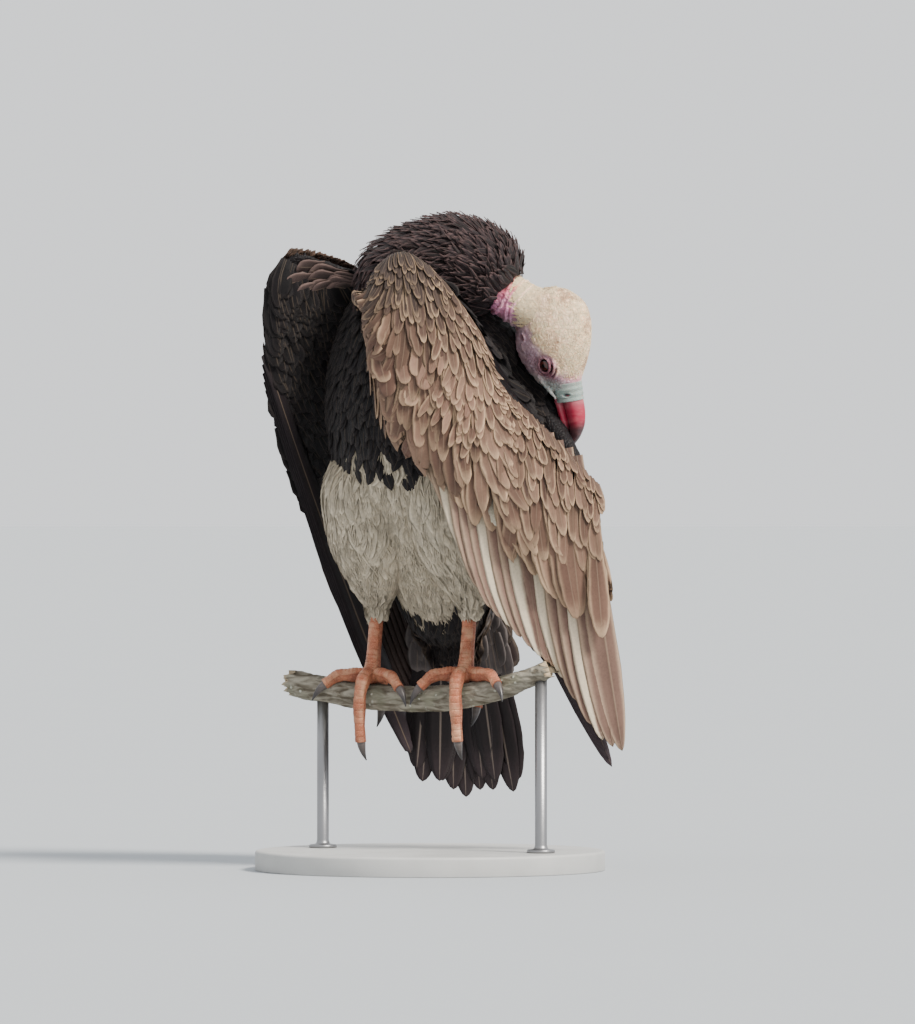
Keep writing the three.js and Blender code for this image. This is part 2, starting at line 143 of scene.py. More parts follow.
class Surface:
    """A shape with a point for every pair of shares: u along it, and v across or round it."""

    wraps: bool = False

    def point(self, u: Array, v: Array) -> Array:
        """The surface's point at each pair of shares."""
        raise NotImplementedError

    def inside(self, u: Array, v: Array) -> Array:
        """A point that lies behind the surface, which tells its outer side."""
        raise NotImplementedError

    def beyond(self, u: Array, v: Array) -> tuple[Array, Array]:
        """The straight directions in which the form carries on past its edges."""
        return self.tangents(u, v)

    def tangents(self, u: Array, v: Array) -> tuple[Array, Array]:
        """The directions in which the surface runs as u and as v grow."""
        h = 2e-3
        low, high = np.clip(u - h, 0, 1), np.clip(u + h, 0, 1)
        along = (self.point(high, v) - self.point(low, v)) / (high - low)[..., None]
        left, right = (v - h, v + h) if self.wraps else (np.clip(v - h, 0, 1), np.clip(v + h, 0, 1))
        across = (self.point(u, right) - self.point(u, left)) / (right - left)[..., None]
        return along, across

    def normal(self, u: Array, v: Array) -> Array:
        """The outward normal."""
        along, across = self.tangents(u, v)
        made = unit(np.cross(along, across))
        outward = np.sum(made * (self.point(u, v) - self.inside(u, v)), axis=-1, keepdims=True)
        return np.where(outward < 0, -made, made)


class Tube(Surface):
    """A closed body lofted through stations; v runs once round it."""

    wraps = True

    def __init__(self, centre: Array, wide: Array, deep: Array, inset: float = 0.0) -> None:
        """Keeps the stations.

        Args:
            centre: A point for each station.
            wide: The half-width vector of each station.
            deep: The half-depth vector of each station.
            inset: How far inside the given size the surface lies.
        """
        self.centre = np.asarray(centre, float)
        self.wide, self.deep = shortened(wide, inset), shortened(deep, inset)

    @classmethod
    def limb(cls, points: Array, radii: list[float], inset: float = 0.0) -> "Tube":
        """A round limb through points, with one radius for each point."""
        points = np.asarray(points, float)
        t = np.linspace(0, 1, len(points))
        along = unit(slope(points, t, 1e-3))
        across = np.cross(along[0], np.array([0.0, 1.0, 0.0]) if abs(along[0][2]) > 0.8 else UP)
        wide = np.empty_like(points)
        for i, direction in enumerate(along):
            across = unit(across - np.dot(across, direction) * direction)
            wide[i] = across
        deep = np.cross(wide, along)
        size = np.asarray(radii, float)[:, None]
        return cls(points, wide * size, deep * size, inset)

    def beyond(self, u: Array, v: Array) -> tuple[Array, Array]:
        """The axis's direction."""
        along = slope(self.centre, u) / END_SPAN
        return along, along * 0

    def inside(self, u: Array, v: Array) -> Array:
        """The axis."""
        return spline(self.centre, u)

    def point(self, u: Array, v: Array) -> Array:
        """A point of the section at u, v of the way round from its wide side."""
        turn = np.asarray(v)[..., None] * TURN
        return spline(self.centre, u) + spline(self.wide, u) * np.cos(turn) + spline(self.deep, u) * np.sin(turn)


class Blade(Surface):
    """One face of a flat blade between a leading edge, v = 0, and a trailing edge, v = 1."""

    def __init__(self, leading: Array, trailing: Array, thick: list[float], bow: float, face: int) -> None:
        """Keeps the edges.

        Args:
            leading: Points along the leading edge.
            trailing: The matching points of the trailing edge.
            thick: The thickness at each of them.
            bow: How far the middle stands out on the blade's outer side.
            face: 1 for the outer side and -1 for the inner side.
        """
        self.leading, self.trailing = np.asarray(leading, float), np.asarray(trailing, float)
        along = np.gradient(self.leading + self.trailing, axis=0)
        self.out = unit(np.cross(self.trailing - self.leading, along))
        self.half = np.asarray(thick, float)[:, None] / 2
        self.bow, self.face = bow, face

    def beyond(self, u: Array, v: Array) -> tuple[Array, Array]:
        """The blade's own plane."""
        along = slope(self.leading * 0.5 + self.trailing * 0.5, u) / END_SPAN
        return along, spline(self.trailing - self.leading, u)

    def inside(self, u: Array, v: Array) -> Array:
        """A point well behind this face."""
        return self.point(u, v) - self.face * spline(self.out, u)

    def point(self, u: Array, v: Array) -> Array:
        """A point of this face."""
        v = np.asarray(v, float)[..., None]
        across = np.abs(2 * v - 1)
        full = np.sqrt(np.clip(1 - across**3, 0, 1))
        height = self.bow * (1 - across**2) + self.face * spline(self.half, u) * full
        return spline(self.leading, u) * (1 - v) + spline(self.trailing, u) * v + spline(self.out, u) * height


Forms = list[tuple[Surface, int, int]]


def trace(surface: Surface, u: Array, v: Array, sweep: Array, distances: Array) -> tuple[Array, ...]:
    """Walks over a surface from many starts at once.

    Args:
        surface: What is walked on; past its end a walk carries on straight.
        u: Each walk's start along the surface.
        v: Its start across it.
        sweep: Its angle from growing u towards growing v.
        distances: A row of rising distances for each walk.

    Returns:
        The points, the outward normals, and the shares u and v, all at those distances.
    """
    points, normals, us, vs = [], [], [], []
    travelled = np.zeros(len(u))
    for step in distances.T:
        inner_u = np.clip(u, 0, 1)
        inner_v = v if surface.wraps else np.clip(v, 0, 1)
        along, across = surface.tangents(inner_u, inner_v)
        forward = unit(along)
        leaning = np.sum(across * forward, axis=-1)
        square = np.linalg.norm(across - leaning[:, None] * forward, axis=-1)
        dv = (step - travelled) * np.sin(sweep) / np.maximum(square, 1e-3)
        du = ((step - travelled) * np.cos(sweep) - dv * leaning) / np.linalg.norm(along, axis=-1)
        u, v, travelled = u + du, v + dv, step
        inner_u = np.clip(u, 0, 1)
        inner_v = v if surface.wraps else np.clip(v, 0, 1)
        along, across = surface.beyond(inner_u, inner_v)
        past = (u - inner_u)[:, None] * along + (v - inner_v)[:, None] * across
        points.append(surface.point(inner_u, inner_v) + past)
        normals.append(surface.normal(inner_u, inner_v))
        us.append(u)
        vs.append(v)
    return tuple(np.stack(rows, axis=1) for rows in (points, normals, us, vs))


# ---- feathers


class Section(Enum):
    """The points round a feather's cross-section: place across, and height in half thicknesses."""

    TUFT = ((-1, 0), (0, 1), (1, 0), (0, -1))
    PLAIN = ((-1, 0), (-0.8, 0.6), (0, 1.2), (0.8, 0.6), (1, 0), (0, -1))
    FINE = (
        (-1, 0), (-0.85, 0.5), (-0.4, 0.7), (-0.06, 0.8), (0, 1.9), (0.06, 0.8), (0.4, 0.7), (0.85, 0.5),
        (1, 0), (0.5, -0.6), (0, -1.3), (-0.5, -0.6),
    )


@dataclass(frozen=True)
class Plume:
    """The form of one kind of feather, in millimetres and shares of its own length and width."""

    length: float
    width: float
    lift: float = 3.0
    sink: float = 1.5
    root_width: float = 0.4
    widest: float = 0.62
    squareness: float = 2.2
    camber: float = 0.16
    outer: float = 1.0
    thickness: float = 0.5
    rings: int = 7
    fray: float = 0.05
    section: Section = Section.PLAIN

    def profile(self, s: Array) -> Array:
        """The half-width's share of the greatest one, at shares s of the length."""
        rise = self.root_width + (1 - self.root_width) * ease(0, self.widest, s)
        past = np.clip((s - self.widest) / (1 - self.widest), 0, 1)
        return rise * np.clip(1 - past**self.squareness, 0, 1) ** (1 / self.squareness) + 0.02


class Rows:
    """Arrays with a row for each feather."""

    def only(self, keep: Array) -> "Rows":
        """The rows for which keep is true."""
        return type(self)(**{name: rows[keep] for name, rows in vars(self).items()})


@dataclass
class Feathers(Rows):
    """A batch of feathers as arrays: points, places on the vane, and colours."""

    points: Array
    vane: Array
    shade: Array
    fringe: Array
    bake: Array


def vanes(plume: Plume, spine: Array, normal: Array, width: Array, roll: Array,
          rng: Chance) -> tuple[Array, Array]:
    """Builds closed vanes on spines.

    Args:
        plume: Their form.
        spine: The points of each shaft from root to tip.
        normal: The outward normals there.
        width: Each one's greatest width.
        roll: How far each turns about its shaft.
        rng: The source of their frayed edges.

    Returns:
        The points, as feather by ring by point of the section, and their places on the vane.
    """
    tangent = unit(np.gradient(spine, axis=1))
    normal = unit(normal - np.sum(normal * tangent, axis=-1, keepdims=True) * tangent)
    side = np.cross(tangent, normal)
    turn = roll.reshape(-1, 1, 1)
    side, normal = side * np.cos(turn) + normal * np.sin(turn), normal * np.cos(turn) - side * np.sin(turn)
    section = np.array(plume.section.value, float)
    x, y = section[:, 0], section[:, 1]
    s = ring_shares(plume.rings)
    half = 0.5 * width[:, None] * plume.profile(s)[None]
    reach = np.where(x < 0, plume.outer, 2 - plume.outer) * x
    ragged = 1 + rng.normal(0, plume.fray, (*half.shape, len(x))) * (np.abs(x) > 0.7)
    across = half[..., None] * reach * ragged
    height = y * plume.thickness / 2 - plume.camber * half[..., None] * x**2
    points = spine[:, :, None] + side[:, :, None] * across[..., None] + normal[:, :, None] * height[..., None]
    vane = np.empty((*across.shape, 2))
    vane[..., 0] = 0.5 + 0.5 * x
    vane[..., 1] = s[None, :, None]
    return points, vane


def ring_shares(rings: int) -> Array:
    """Shares of a feather's length at which its rings stand, closer together at the tip."""
    return 1 - (1 - np.linspace(0, 1, rings)) ** 1.5


def cell_patches(vane: Array, tall: float) -> Array:
    """Gives each feather a cell of its own in the unit square.

    Args:
        vane: Places on the vane.
        tall: How many times longer than wide a feather is.

    Returns:
        The baking places, one island for each feather.
    """
    count = len(vane)
    columns = math.ceil(math.sqrt(count * tall))
    rows = math.ceil(count / columns)
    index = np.arange(count)
    corner = np.stack([index % columns, index // columns], axis=1)[:, None, None]
    margin = 0.06
    return (corner + margin + (1 - 2 * margin) * vane) / np.array([columns, rows])


def root_patches(vane: Array, roots: Array) -> Array:
    """Gives each tuft a small patch at its root's place on the unwrap of its surface."""
    return roots[:, None, None] + (vane - 0.5) * PATCH


@dataclass
class Coat:
    """Gathers batches of feathers, and makes one piece of them."""

    name: str
    batches: list[Feathers] = field(default_factory=list)

    def add(self, batch: Feathers) -> None:
        """Takes in one more batch."""
        self.batches.append(batch)

    def share_map(self, columns: int) -> None:
        """Gives each batch a square of its own in the bake map."""
        for i, batch in enumerate(self.batches):
            batch.bake = (batch.bake + [i % columns, i // columns]) / columns

    def build(self, material: Material, slot: str, *nodes: str) -> Piece:
        """Makes the piece.

        Args:
            material: Its finish.
            slot: The record's material slot that it belongs to; not used.
            nodes: The frame's nodes that it stands for.

        Returns:
            The new object, riding on the body.
        """
        solids, maps, colours = [], {"OFBake": [], "vane": []}, {"shade": [], "fringe": []}
        for batch in self.batches:
            shape = batch.points.shape[:3]
            index = np.arange(math.prod(shape)).reshape(shape)
            quads = ring_quads(index)
            loops = np.concatenate([quads.ravel(), index[:, 0, ::-1].ravel(), index[:, -1].ravel()])
            totals = np.concatenate([np.full(len(quads), 4), np.full(2 * shape[0], shape[2])])
            solids.append((batch.points.reshape(-1, 3), loops, totals))
            maps["OFBake"].append(batch.bake.reshape(-1, 2))
            maps["vane"].append(batch.vane.reshape(-1, 2))
            for layer, rows in colours.items():
                values = getattr(batch, layer)[:, None, None]
                rows.append(np.broadcast_to(values, (*shape, 3)).reshape(-1, 3))
        points, corners, totals = joined(solids)
        mesh = mesh_from(self.name, points, corners, totals)
        for layer, rows in maps.items():
            add_map(mesh, layer, np.concatenate(rows)[corners])
        for layer, rows in colours.items():
            add_colour(mesh, layer, np.concatenate(rows))
        LOG.info("%s: %d feathers", self.name, sum(len(batch.points) for batch in self.batches))
        return shown(mesh, material, slot, *nodes)


def ring_quads(index: Array) -> Array:
    """The quads between closed rings of numbered points."""
    after = np.roll(index, -1, axis=-1)
    corners = index[..., :-1, :], after[..., :-1, :], after[..., 1:, :], index[..., 1:, :]
    return np.stack(corners, axis=-1).reshape(-1, 4)


def grid_quads(index: Array) -> Array:
    """The quads of an open sheet of numbered points."""
    return np.stack([index[:-1, :-1], index[:-1, 1:], index[1:, 1:], index[1:, :-1]], axis=-1).reshape(-1, 4)


def solid_of(rings: Array, inner: Array) -> Solid:
    """Closes rings of points into a solid.

    Args:
        rings: The points, ring by ring.
        inner: A point behind each of them, which tells the outer side.

    Returns:
        The points, the faces' corners, and the corner count of each face.
    """
    sides, points = rings.shape[1], rings.reshape(-1, 3)
    index = np.arange(len(points)).reshape(-1, sides)
    quads, ends = ring_quads(index), [index[0][::-1], index[-1]]
    first = points[quads[: len(quads) // 2]]
    face = np.cross(first[:, 1] - first[:, 0], first[:, 2] - first[:, 0])
    away = first.mean(axis=1) - inner.reshape(-1, 3)[: len(first)]
    if np.sum(face * away) < 0:
        quads, ends = quads[:, ::-1], [index[0], index[-1][::-1]]
    totals = np.concatenate([np.full(len(quads), 4), [sides, sides]])
    return points, np.concatenate([quads.ravel(), *ends]), totals


def tube_solid(surface: Surface, rings: int, sides: int) -> Solid:
    """A tube as a closed solid, with its steps along and round."""
    u, v = np.meshgrid(np.linspace(0, 1, rings + 1), np.arange(sides) / sides, indexing="ij")
    return solid_of(surface.point(u, v), surface.inside(u, v))


def joined(solids: list[Solid]) -> Solid:
    """Several solids as one."""
    points, loops, totals = zip(*solids)
    starts = np.cumsum([0, *map(len, points)])
    moved = [corners + start for corners, start in zip(loops, starts)]
    return np.concatenate(points), np.concatenate(moved), np.concatenate(totals)


def packed(values: Array) -> Array:
    """Values as one row of short floats, the way a mesh takes them."""
    return np.asarray(values, np.float32).ravel()


def add_map(mesh: Mesh, layer: str, places: Array) -> None:
    """Gives the corners of a mesh's faces their places in a map."""
    mesh.uv_layers.new(name=layer).data.foreach_set("uv", packed(places))


def add_colour(mesh: Mesh, layer: str, colours: Array) -> None:
    """Gives a mesh's points a colour that its finish reads."""
    attribute = mesh.color_attributes.new(layer, "FLOAT_COLOR", "POINT")
    attribute.data.foreach_set("color", packed(np.insert(colours, 3, 1, axis=1)))


def mesh_from(name: str, points: Array, loops: Array, totals: Array) -> Mesh:
    """Makes a smooth mesh.

    Args:
        name: The mesh's name.
        points: Its points in millimetres.
        loops: The corners of all faces, one face after another.
        totals: How many corners each face has.

    Returns:
        The mesh, in metres.
    """
    mesh = bpy.data.meshes.new(name)
    mesh.vertices.add(len(points))
    mesh.vertices.foreach_set("co", packed(points * MM))
    mesh.loops.add(len(loops))
    mesh.loops.foreach_set("vertex_index", loops.astype(np.int32))
    mesh.polygons.add(len(totals))
    mesh.polygons.foreach_set("loop_start", (np.cumsum(totals) - totals).astype(np.int32))
    mesh.polygons.foreach_set("use_smooth", np.ones(len(totals), bool))
    mesh.update(calc_edges=True)
    mesh.validate()
    return mesh


def placed(name: str, data: bpy.types.ID) -> Piece:
    """A new object in the scene."""
    made = bpy.data.objects.new(name, data)
    bpy.context.scene.collection.objects.link(made)
    return made


def shown(mesh: Mesh, material: Material, slot: str, *nodes: str) -> Piece:
    """Puts a mesh on the body as a finished piece, in place of frame nodes."""
    piece = placed(mesh.name, mesh)
    piece.data.materials.append(material)
    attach(piece, "root")
    if nodes:
        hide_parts(*nodes)
    return piece


# ---- shader maths


class Val:
    """A number inside a material's nodes, with Python's own operators."""

    def __init__(self, shader: "Shader", socket: Socket) -> None:
        """Wraps a socket of a shader."""
        self.shader, self.socket = shader, socket

    def _maths(self, operation: str, a: "Val | float", b: "Val | float" = 0.0) -> "Val":
        """A Math node on two values."""
        made = self.shader.node("ShaderNodeMath", {"operation": operation}, {0: a, 1: b})
        return Val(self.shader, made.outputs[0])

    def __add__(self, other: "Val | float") -> "Val":
        """Adds."""
        return self._maths("ADD", self, other)

    __radd__ = __add__

    def __sub__(self, other: "Val | float") -> "Val":
        """Subtracts."""
        return self._maths("SUBTRACT", self, other)

    def __rsub__(self, other: float) -> "Val":
        """Subtracts this from a number."""
        return self._maths("SUBTRACT", other, self)

    def __mul__(self, other: "Val | float") -> "Val":
        """Multiplies."""
        return self._maths("MULTIPLY", self, other)

    __rmul__ = __mul__

    def __abs__(self) -> "Val":
        """The size without its sign."""
        return self._maths("ABSOLUTE", self)

    def wave(self) -> "Val":
        """Its sine."""
        return self._maths("SINE", self)

    def rise(self, low: float, high: float) -> "Val":
        """Rises smoothly from 0 at low to 1 at high, or falls where low is the greater."""
        settings = {"interpolation_type": "SMOOTHSTEP"}
        inputs = {"Value": self, "From Min": low, "From Max": high}
        return Val(self.shader, self.shader.node("ShaderNodeMapRange", settings, inputs).outputs[0])


class Shader:
    """A material being made, with one Principled node."""

    def __init__(self, name: str, **constants: float | Colour) -> None:
        """Starts a material.

        Args:
            name: Its name.
            constants: Values for the Principled node's sockets, with _ for a space.
        """
        self.material = bpy.data.materials.new(name)
        self.material.use_nodes = True
        self.tree = self.material.node_tree
        self.base = self.tree.nodes["Principled BSDF"]
        for key, value in constants.items():
            value = (*value, 1.0) if isinstance(value, tuple) and len(value) == 3 else value
            self.base.inputs[key.replace("_", " ")].default_value = value

    def node(self, kind: str, settings: dict | None = None, inputs: dict | None = None) -> bpy.types.Node:
        """Adds a node.

        Args:
            kind: The node's type.
            settings: Its properties, which are set first.
            inputs: Values or links for its sockets, by name or number.

        Returns:
            The node.
        """
        made = self.tree.nodes.new(kind)
        for key, value in (settings or {}).items():
            setattr(made, key, value)
        for key, value in (inputs or {}).items():
            socket = made.inputs[key]
            value = value.socket if isinstance(value, Val) else value
            if isinstance(value, Socket):
                self.tree.links.new(value, socket)
            else:
                socket.default_value = value
        return made

    def vane(self) -> tuple[Val, Val]:
        """The place across and along the vane."""
        uv = self.node("ShaderNodeUVMap", {"uv_map": "vane"})
        parts = self.node("ShaderNodeSeparateXYZ", {}, {0: uv.outputs[0]})
        return Val(self, parts.outputs[0]), Val(self, parts.outputs[1])

    def painted(self, layer: str) -> Socket:
        """A colour that the mesh carries."""
        return self.node("ShaderNodeAttribute", {"attribute_name": layer}).outputs["Color"]

    def place(self) -> Socket:
        """The place on the object."""
        return self.node("ShaderNodeTexCoord").outputs["Object"]

    def noise(self, scale: float, detail: float = 3.0, stretch: Colour = (1, 1, 1), warp: float = 0.0) -> Val:
        """Soft noise over the object's own space.

        Args:
            scale: Its fineness, per metre.
            detail: How many finer layers it has.
            stretch: How much each axis is squeezed first.
            warp: How much the noise is bent.

        Returns:
            The noise, about 0.5 in the middle.
        """
        mapped = self.node("ShaderNodeMapping", {}, {"Vector": self.place(), "Scale": stretch})
        inputs = {"Vector": mapped.outputs[0], "Scale": scale, "Detail": detail, "Distortion": warp}
        return Val(self, self.node("ShaderNodeTexNoise", {}, inputs).outputs["Fac"])

    def cells(self, scale: float, edges: bool = True) -> Val:
        """Cells over the object's own space: the distance to a cell's edge, or to its middle."""
        settings = {"feature": "DISTANCE_TO_EDGE" if edges else "F1"}
        inputs = {"Vector": self.place(), "Scale": scale}
        return Val(self, self.node("ShaderNodeTexVoronoi", settings, inputs).outputs["Distance"])

    def mix(self, a: Socket | Colour, b: Socket | Colour, share: Val | float, way: str = "MIX") -> Socket:
        """Mixes two colours."""
        first, second = ((*part, 1.0) if isinstance(part, tuple) else part for part in (a, b))
        settings = {"data_type": "RGBA", "blend_type": way}
        return self.node("ShaderNodeMix", settings, {0: share, 6: first, 7: second}).outputs[2]

    def dimmed(self, colour: Socket, share: Val) -> Socket:
        """Darkens a colour to a share of itself."""
        grey = self.node("ShaderNodeCombineXYZ", {}, {0: share, 1: share, 2: share}).outputs[0]
        return self.mix(colour, grey, 1.0, "MULTIPLY")

    def colour(self, socket: Socket) -> None:
        """Joins a colour to Base Color."""
        self.tree.links.new(socket, self.base.inputs["Base Color"])

    def rough(self, value: Val) -> None:
        """Joins a value to Roughness."""
        self.tree.links.new(value.socket, self.base.inputs["Roughness"])

    def bump(self, height: Val, depth: float) -> None:
        """Joins a relief to the normal.

        Args:
            height: The relief, from 0 to 1.
            depth: Its depth in metres.
        """
        made = self.node("ShaderNodeBump", {}, {"Height": height, "Distance": depth, "Strength": 1.0})
        self.tree.links.new(made.outputs[0], self.base.inputs["Normal"])


@dataclass(frozen=True)
class FeatherFinish:
    """Vanes with a shaft, fine barbs, a worn edge of another colour, and painted shade towards the root and along the
    shaft.
    """

    name: str
    roughness: float = 0.6
    sheen: float = 0.03
    edge: tuple[float, float] = (0.55, 0.95)
    tip: tuple[float, float] = (0.8, 1.0)
    shaft: Colour = (0.3, 0.22, 0.15)
    shaft_share: float = 0.35
    barbs: float = 90.0
    barb_depth: float = 0.00018
    mottle: float = 0.3
    one_web: bool = False
    # how much painted shade darkens the vane towards its root and along its shaft
    root_dark: float = 0.0

    def make(self) -> Material:
        """Builds the material."""
        shader = Shader(self.name, Roughness=self.roughness, Sheen_Weight=self.sheen, Specular_IOR_Level=0.18)
        across, along = shader.vane()
        side = abs(across * 2 - 1)
        patch = shader.noise(26.0, 4.0)
        grain = shader.noise(420.0, 2.0)
        web = across * 2 - 1 if self.one_web else side
        edge = (web + (patch - 0.5) * 0.5).rise(*self.edge)
        tip = (along + (grain - 0.5) * 0.12).rise(*self.tip)
        rim = 1 - (1 - edge) * (1 - tip * 0.85)
        vane = shader.mix(shader.painted("shade"), shader.painted("fringe"), rim)
        barb = ((along * self.barbs + side * self.barbs * 0.22) * WAVE_TURN).wave() * 0.5 + 0.5
        streak = 1 - self.mottle * (patch.rise(0.35, 0.7) * 0.6 + barb * 0.25 + grain.rise(0.4, 0.7) * 0.3)
        # painted shade: darker towards the root and along the shaft, standing for the shade that falls between
        # overlapping feathers
        streak = streak - self.root_dark * along.rise(0.85, 0.35) - self.root_dark * 0.5 * side.rise(0.5, 0.1)
        shader.colour(shader.mix(shader.dimmed(vane, streak), self.shaft, side.rise(0.09, 0.03) * self.shaft_share))
        shader.bump(barb * 0.5 + grain * 0.8 + side.rise(0.1, 0.0), self.barb_depth)
        return shader.material


@dataclass(frozen=True)
class DownFinish:
    """Soft tufts with next to no shaft."""

    name: str
    roughness: float = 0.85
    sheen: float = 0.04
    mottle: float = 0.22

    def make(self) -> Material:
        """Builds the material."""
        shader = Shader(self.name, Roughness=self.roughness, Sheen_Weight=self.sheen, Specular_IOR_Level=0.2)
        across, along = shader.vane()
        side = abs(across * 2 - 1)
        grain = shader.noise(300.0, 3.0)
        rim = (side * 0.4 + along * 0.7 + (grain - 0.5) * 0.4).rise(0.3, 0.9)
        vane = shader.mix(shader.painted("shade"), shader.painted("fringe"), rim)
        streak = 1 - self.mottle * (grain.rise(0.35, 0.7) + shader.noise(34.0).rise(0.4, 0.7))
        shader.colour(shader.dimmed(vane, streak))
        fibre = ((side * 40 + along * 9) * WAVE_TURN).wave() * 0.5 + 0.5
        shader.bump(fibre * 0.5 + grain, 0.0003)
        return shader.material


@dataclass(frozen=True)
class SkinFinish:
    """Living skin in the colours that the mesh carries, creased and finely pored, with painted shade darkening its
    creases.
    """

    name: str
    roughness: float = 0.55
    subsurface: float = 0.12
    crease_scale: float = 260.0
    crease_depth: float = 0.0005

    def make(self) -> Material:
        """Builds the material."""
        shader = Shader(
            self.name, Roughness=self.roughness, Subsurface_Weight=self.subsurface, Subsurface_Scale=0.004,
            Specular_IOR_Level=0.18,
        )
        mottle = shader.noise(70.0, 5.0)
        creases = shader.cells(self.crease_scale).rise(0.0, 0.25)
        pores = shader.noise(900.0, 2.0)
        # painted shade: the colour is darkened in the creases between the cells
        dark = shader.mix(shader.painted("shade"), (0.5, 0.36, 0.34), (1 - creases) * 0.5, "MULTIPLY")
        shader.colour(shader.mix(dark, shader.painted("fringe"), mottle.rise(0.42, 0.68) * 0.5))
        shader.bump(creases * 0.7 + pores * 0.3, self.crease_depth)
        return shader.material


@dataclass(frozen=True)
class HornFinish:
    """Bill and claw horn in the colours that the mesh carries, with faint growth lines."""

    name: str
    roughness: float = 0.32
    coat: float = 0.25

    def make(self) -> Material:
        """Builds the material."""
        shader = Shader(self.name, Coat_Weight=self.coat, Coat_Roughness=0.25, Specular_IOR_Level=0.45)
        lines = shader.noise(160.0, 4.0, (0.5, 0.5, 1.6))
        fine = shader.noise(700.0, 2.0)
        worn = shader.mix(shader.painted("shade"), shader.painted("fringe"), lines.rise(0.45, 0.75) * 0.55)
        shader.colour(worn)
        shader.rough(self.roughness + fine * 0.2)
        shader.bump(lines * 0.8 + fine * 0.3, 0.0004)
        return shader.material


@dataclass(frozen=True)
class EyeFinish:
    """A dark iris round a black pupil under a wet front."""

    name: str
    iris: Colour = (0.03, 0.006, 0.004)

    def make(self) -> Material:
        """Builds the material."""
        shader = Shader(self.name, Roughness=0.12, Coat_Weight=0.4, Coat_Roughness=0.02, Specular_IOR_Level=0.3)
        _, along = shader.vane()
        rays = shader.noise(900.0, 3.0)
        iris = shader.mix(self.iris, (0.07, 0.014, 0.008), rays.rise(0.4, 0.7) * along.rise(0.3, 0.5))
        shader.colour(shader.mix((0.003, 0.002, 0.002), iris, along.rise(0.2, 0.24) * along.rise(0.62, 0.5)))
        return shader.material


@dataclass(frozen=True)
class BarkFinish:
    """Weathered bark with olive lichen, and bare wood where it is broken."""

    name: str

    def make(self) -> Material:
        """Builds the material."""
        shader = Shader(self.name, Roughness=0.9, Specular_IOR_Level=0.2)
        ridge = shader.noise(120.0, 8.0, (0.35, 0.5, 1.6), 0.6)
        patch = shader.noise(38.0, 6.0)
        lichen = shader.cells(150.0, False)
        bark = shader.mix((0.085, 0.07, 0.05), (0.3, 0.275, 0.22), ridge.rise(0.35, 0.66))
        green = shader.mix(bark, (0.17, 0.17, 0.12), patch.rise(0.5, 0.66) * 0.6)
        crust = shader.mix(green, (0.5, 0.5, 0.42), lichen.rise(0.3, 0.12) * patch.rise(0.52, 0.6) * 0.8)
        broken = shader.node("ShaderNodeSeparateColor", {}, {0: shader.painted("fringe")}).outputs[0]
        shader.colour(shader.mix(crust, shader.painted("shade"), broken))
        shader.bump(ridge + lichen.rise(0.4, 0.1) * 0.4, 0.0016)
        return shader.material


# ---- laying feathers on a surface


@dataclass
class Bed(Rows):
    """Where a batch of feathers is rooted on a surface, and how each differs from its plume."""

    u: Array
    v: Array
    sweep: Array
    length: Array
    width: Array
    roll: Array

    @classmethod
    def scattered(cls, count: int, rng: Chance, sweep: float, swing: float,
                  vary: float = 0.15, u: tuple[float, float] = (0, 1), v: tuple[float, float] = (0, 1)) -> "Bed":
        """Roots spread evenly, but in no rows, over a patch.

        Args:
            count: How many roots.
            rng: The source of chance.
            sweep: The lie of the feathers, from growing u towards growing v.
            swing: How far single feathers stray from it.
            vary: How much their lengths and widths vary.
            u: The patch's range along the surface.
            v: Its range across it.

        Returns:
            The bed.
        """
        index = np.arange(count)
        return cls(
            u[0] + (u[1] - u[0]) * ((index * EVEN_U) % 1),
            v[0] + (v[1] - v[0]) * ((index * EVEN_V) % 1),
            rng.normal(sweep, swing, count),
            rng.normal(1, vary, count),
            rng.normal(1, vary, count),
            rng.normal(0, 0.12, count),
        )

    @classmethod
    def row(cls, count: int, rng: Chance, v: float, sweep: float,
            u: tuple[float, float] = (0, 1), roll: float = 0.18, swing: float = 0.04) -> "Bed":
        """One row of roots along u, each feather tucked under its neighbour's raised edge.

        Args:
            count: How many roots.
            rng: The source of chance.
            v: The row's place across the surface.
            sweep: The lie of the feathers.
            u: The row's range.
            roll: How far each turns about its shaft.
            swing: How far single feathers stray.

        Returns:
            The bed.
        """
        places = u[0] + (u[1] - u[0]) * (np.arange(count) + 0.5) / count
        return cls(
            rng.normal(places, 0.15 / count, count),
            rng.normal(v, 0.008, count),
            rng.normal(sweep, swing, count),
            rng.normal(1, 0.05, count),
            rng.normal(1, 0.06, count),
            rng.normal(roll, 0.05, count),
        )

    def dwindling(self, low: float, high: float, length: float, width: float = 0.0) -> "Bed":
        """Feathers that lose shares of their length and width from u = low to u = high."""
        fall = ease(low, high, self.u)
        return replace(self, length=self.length * (1 - length * fall), width=self.width * (1 - width * fall))

    def towards(self, surface: Surface, direction: Array) -> "Bed":
        """Turns the lie so that each feather points along a direction in space, or its own row of one."""
        v = self.v if surface.wraps else np.clip(self.v, 0, 1)
        along, across = surface.tangents(np.clip(self.u, 0, 1), v)
        along = unit(along)
        across = unit(across - np.sum(across * along, axis=-1, keepdims=True) * along)
        aim = np.broadcast_to(direction, along.shape)
        turn = np.arctan2(np.sum(aim * across, axis=-1), np.sum(aim * along, axis=-1))
        return replace(self, sweep=self.sweep + turn)


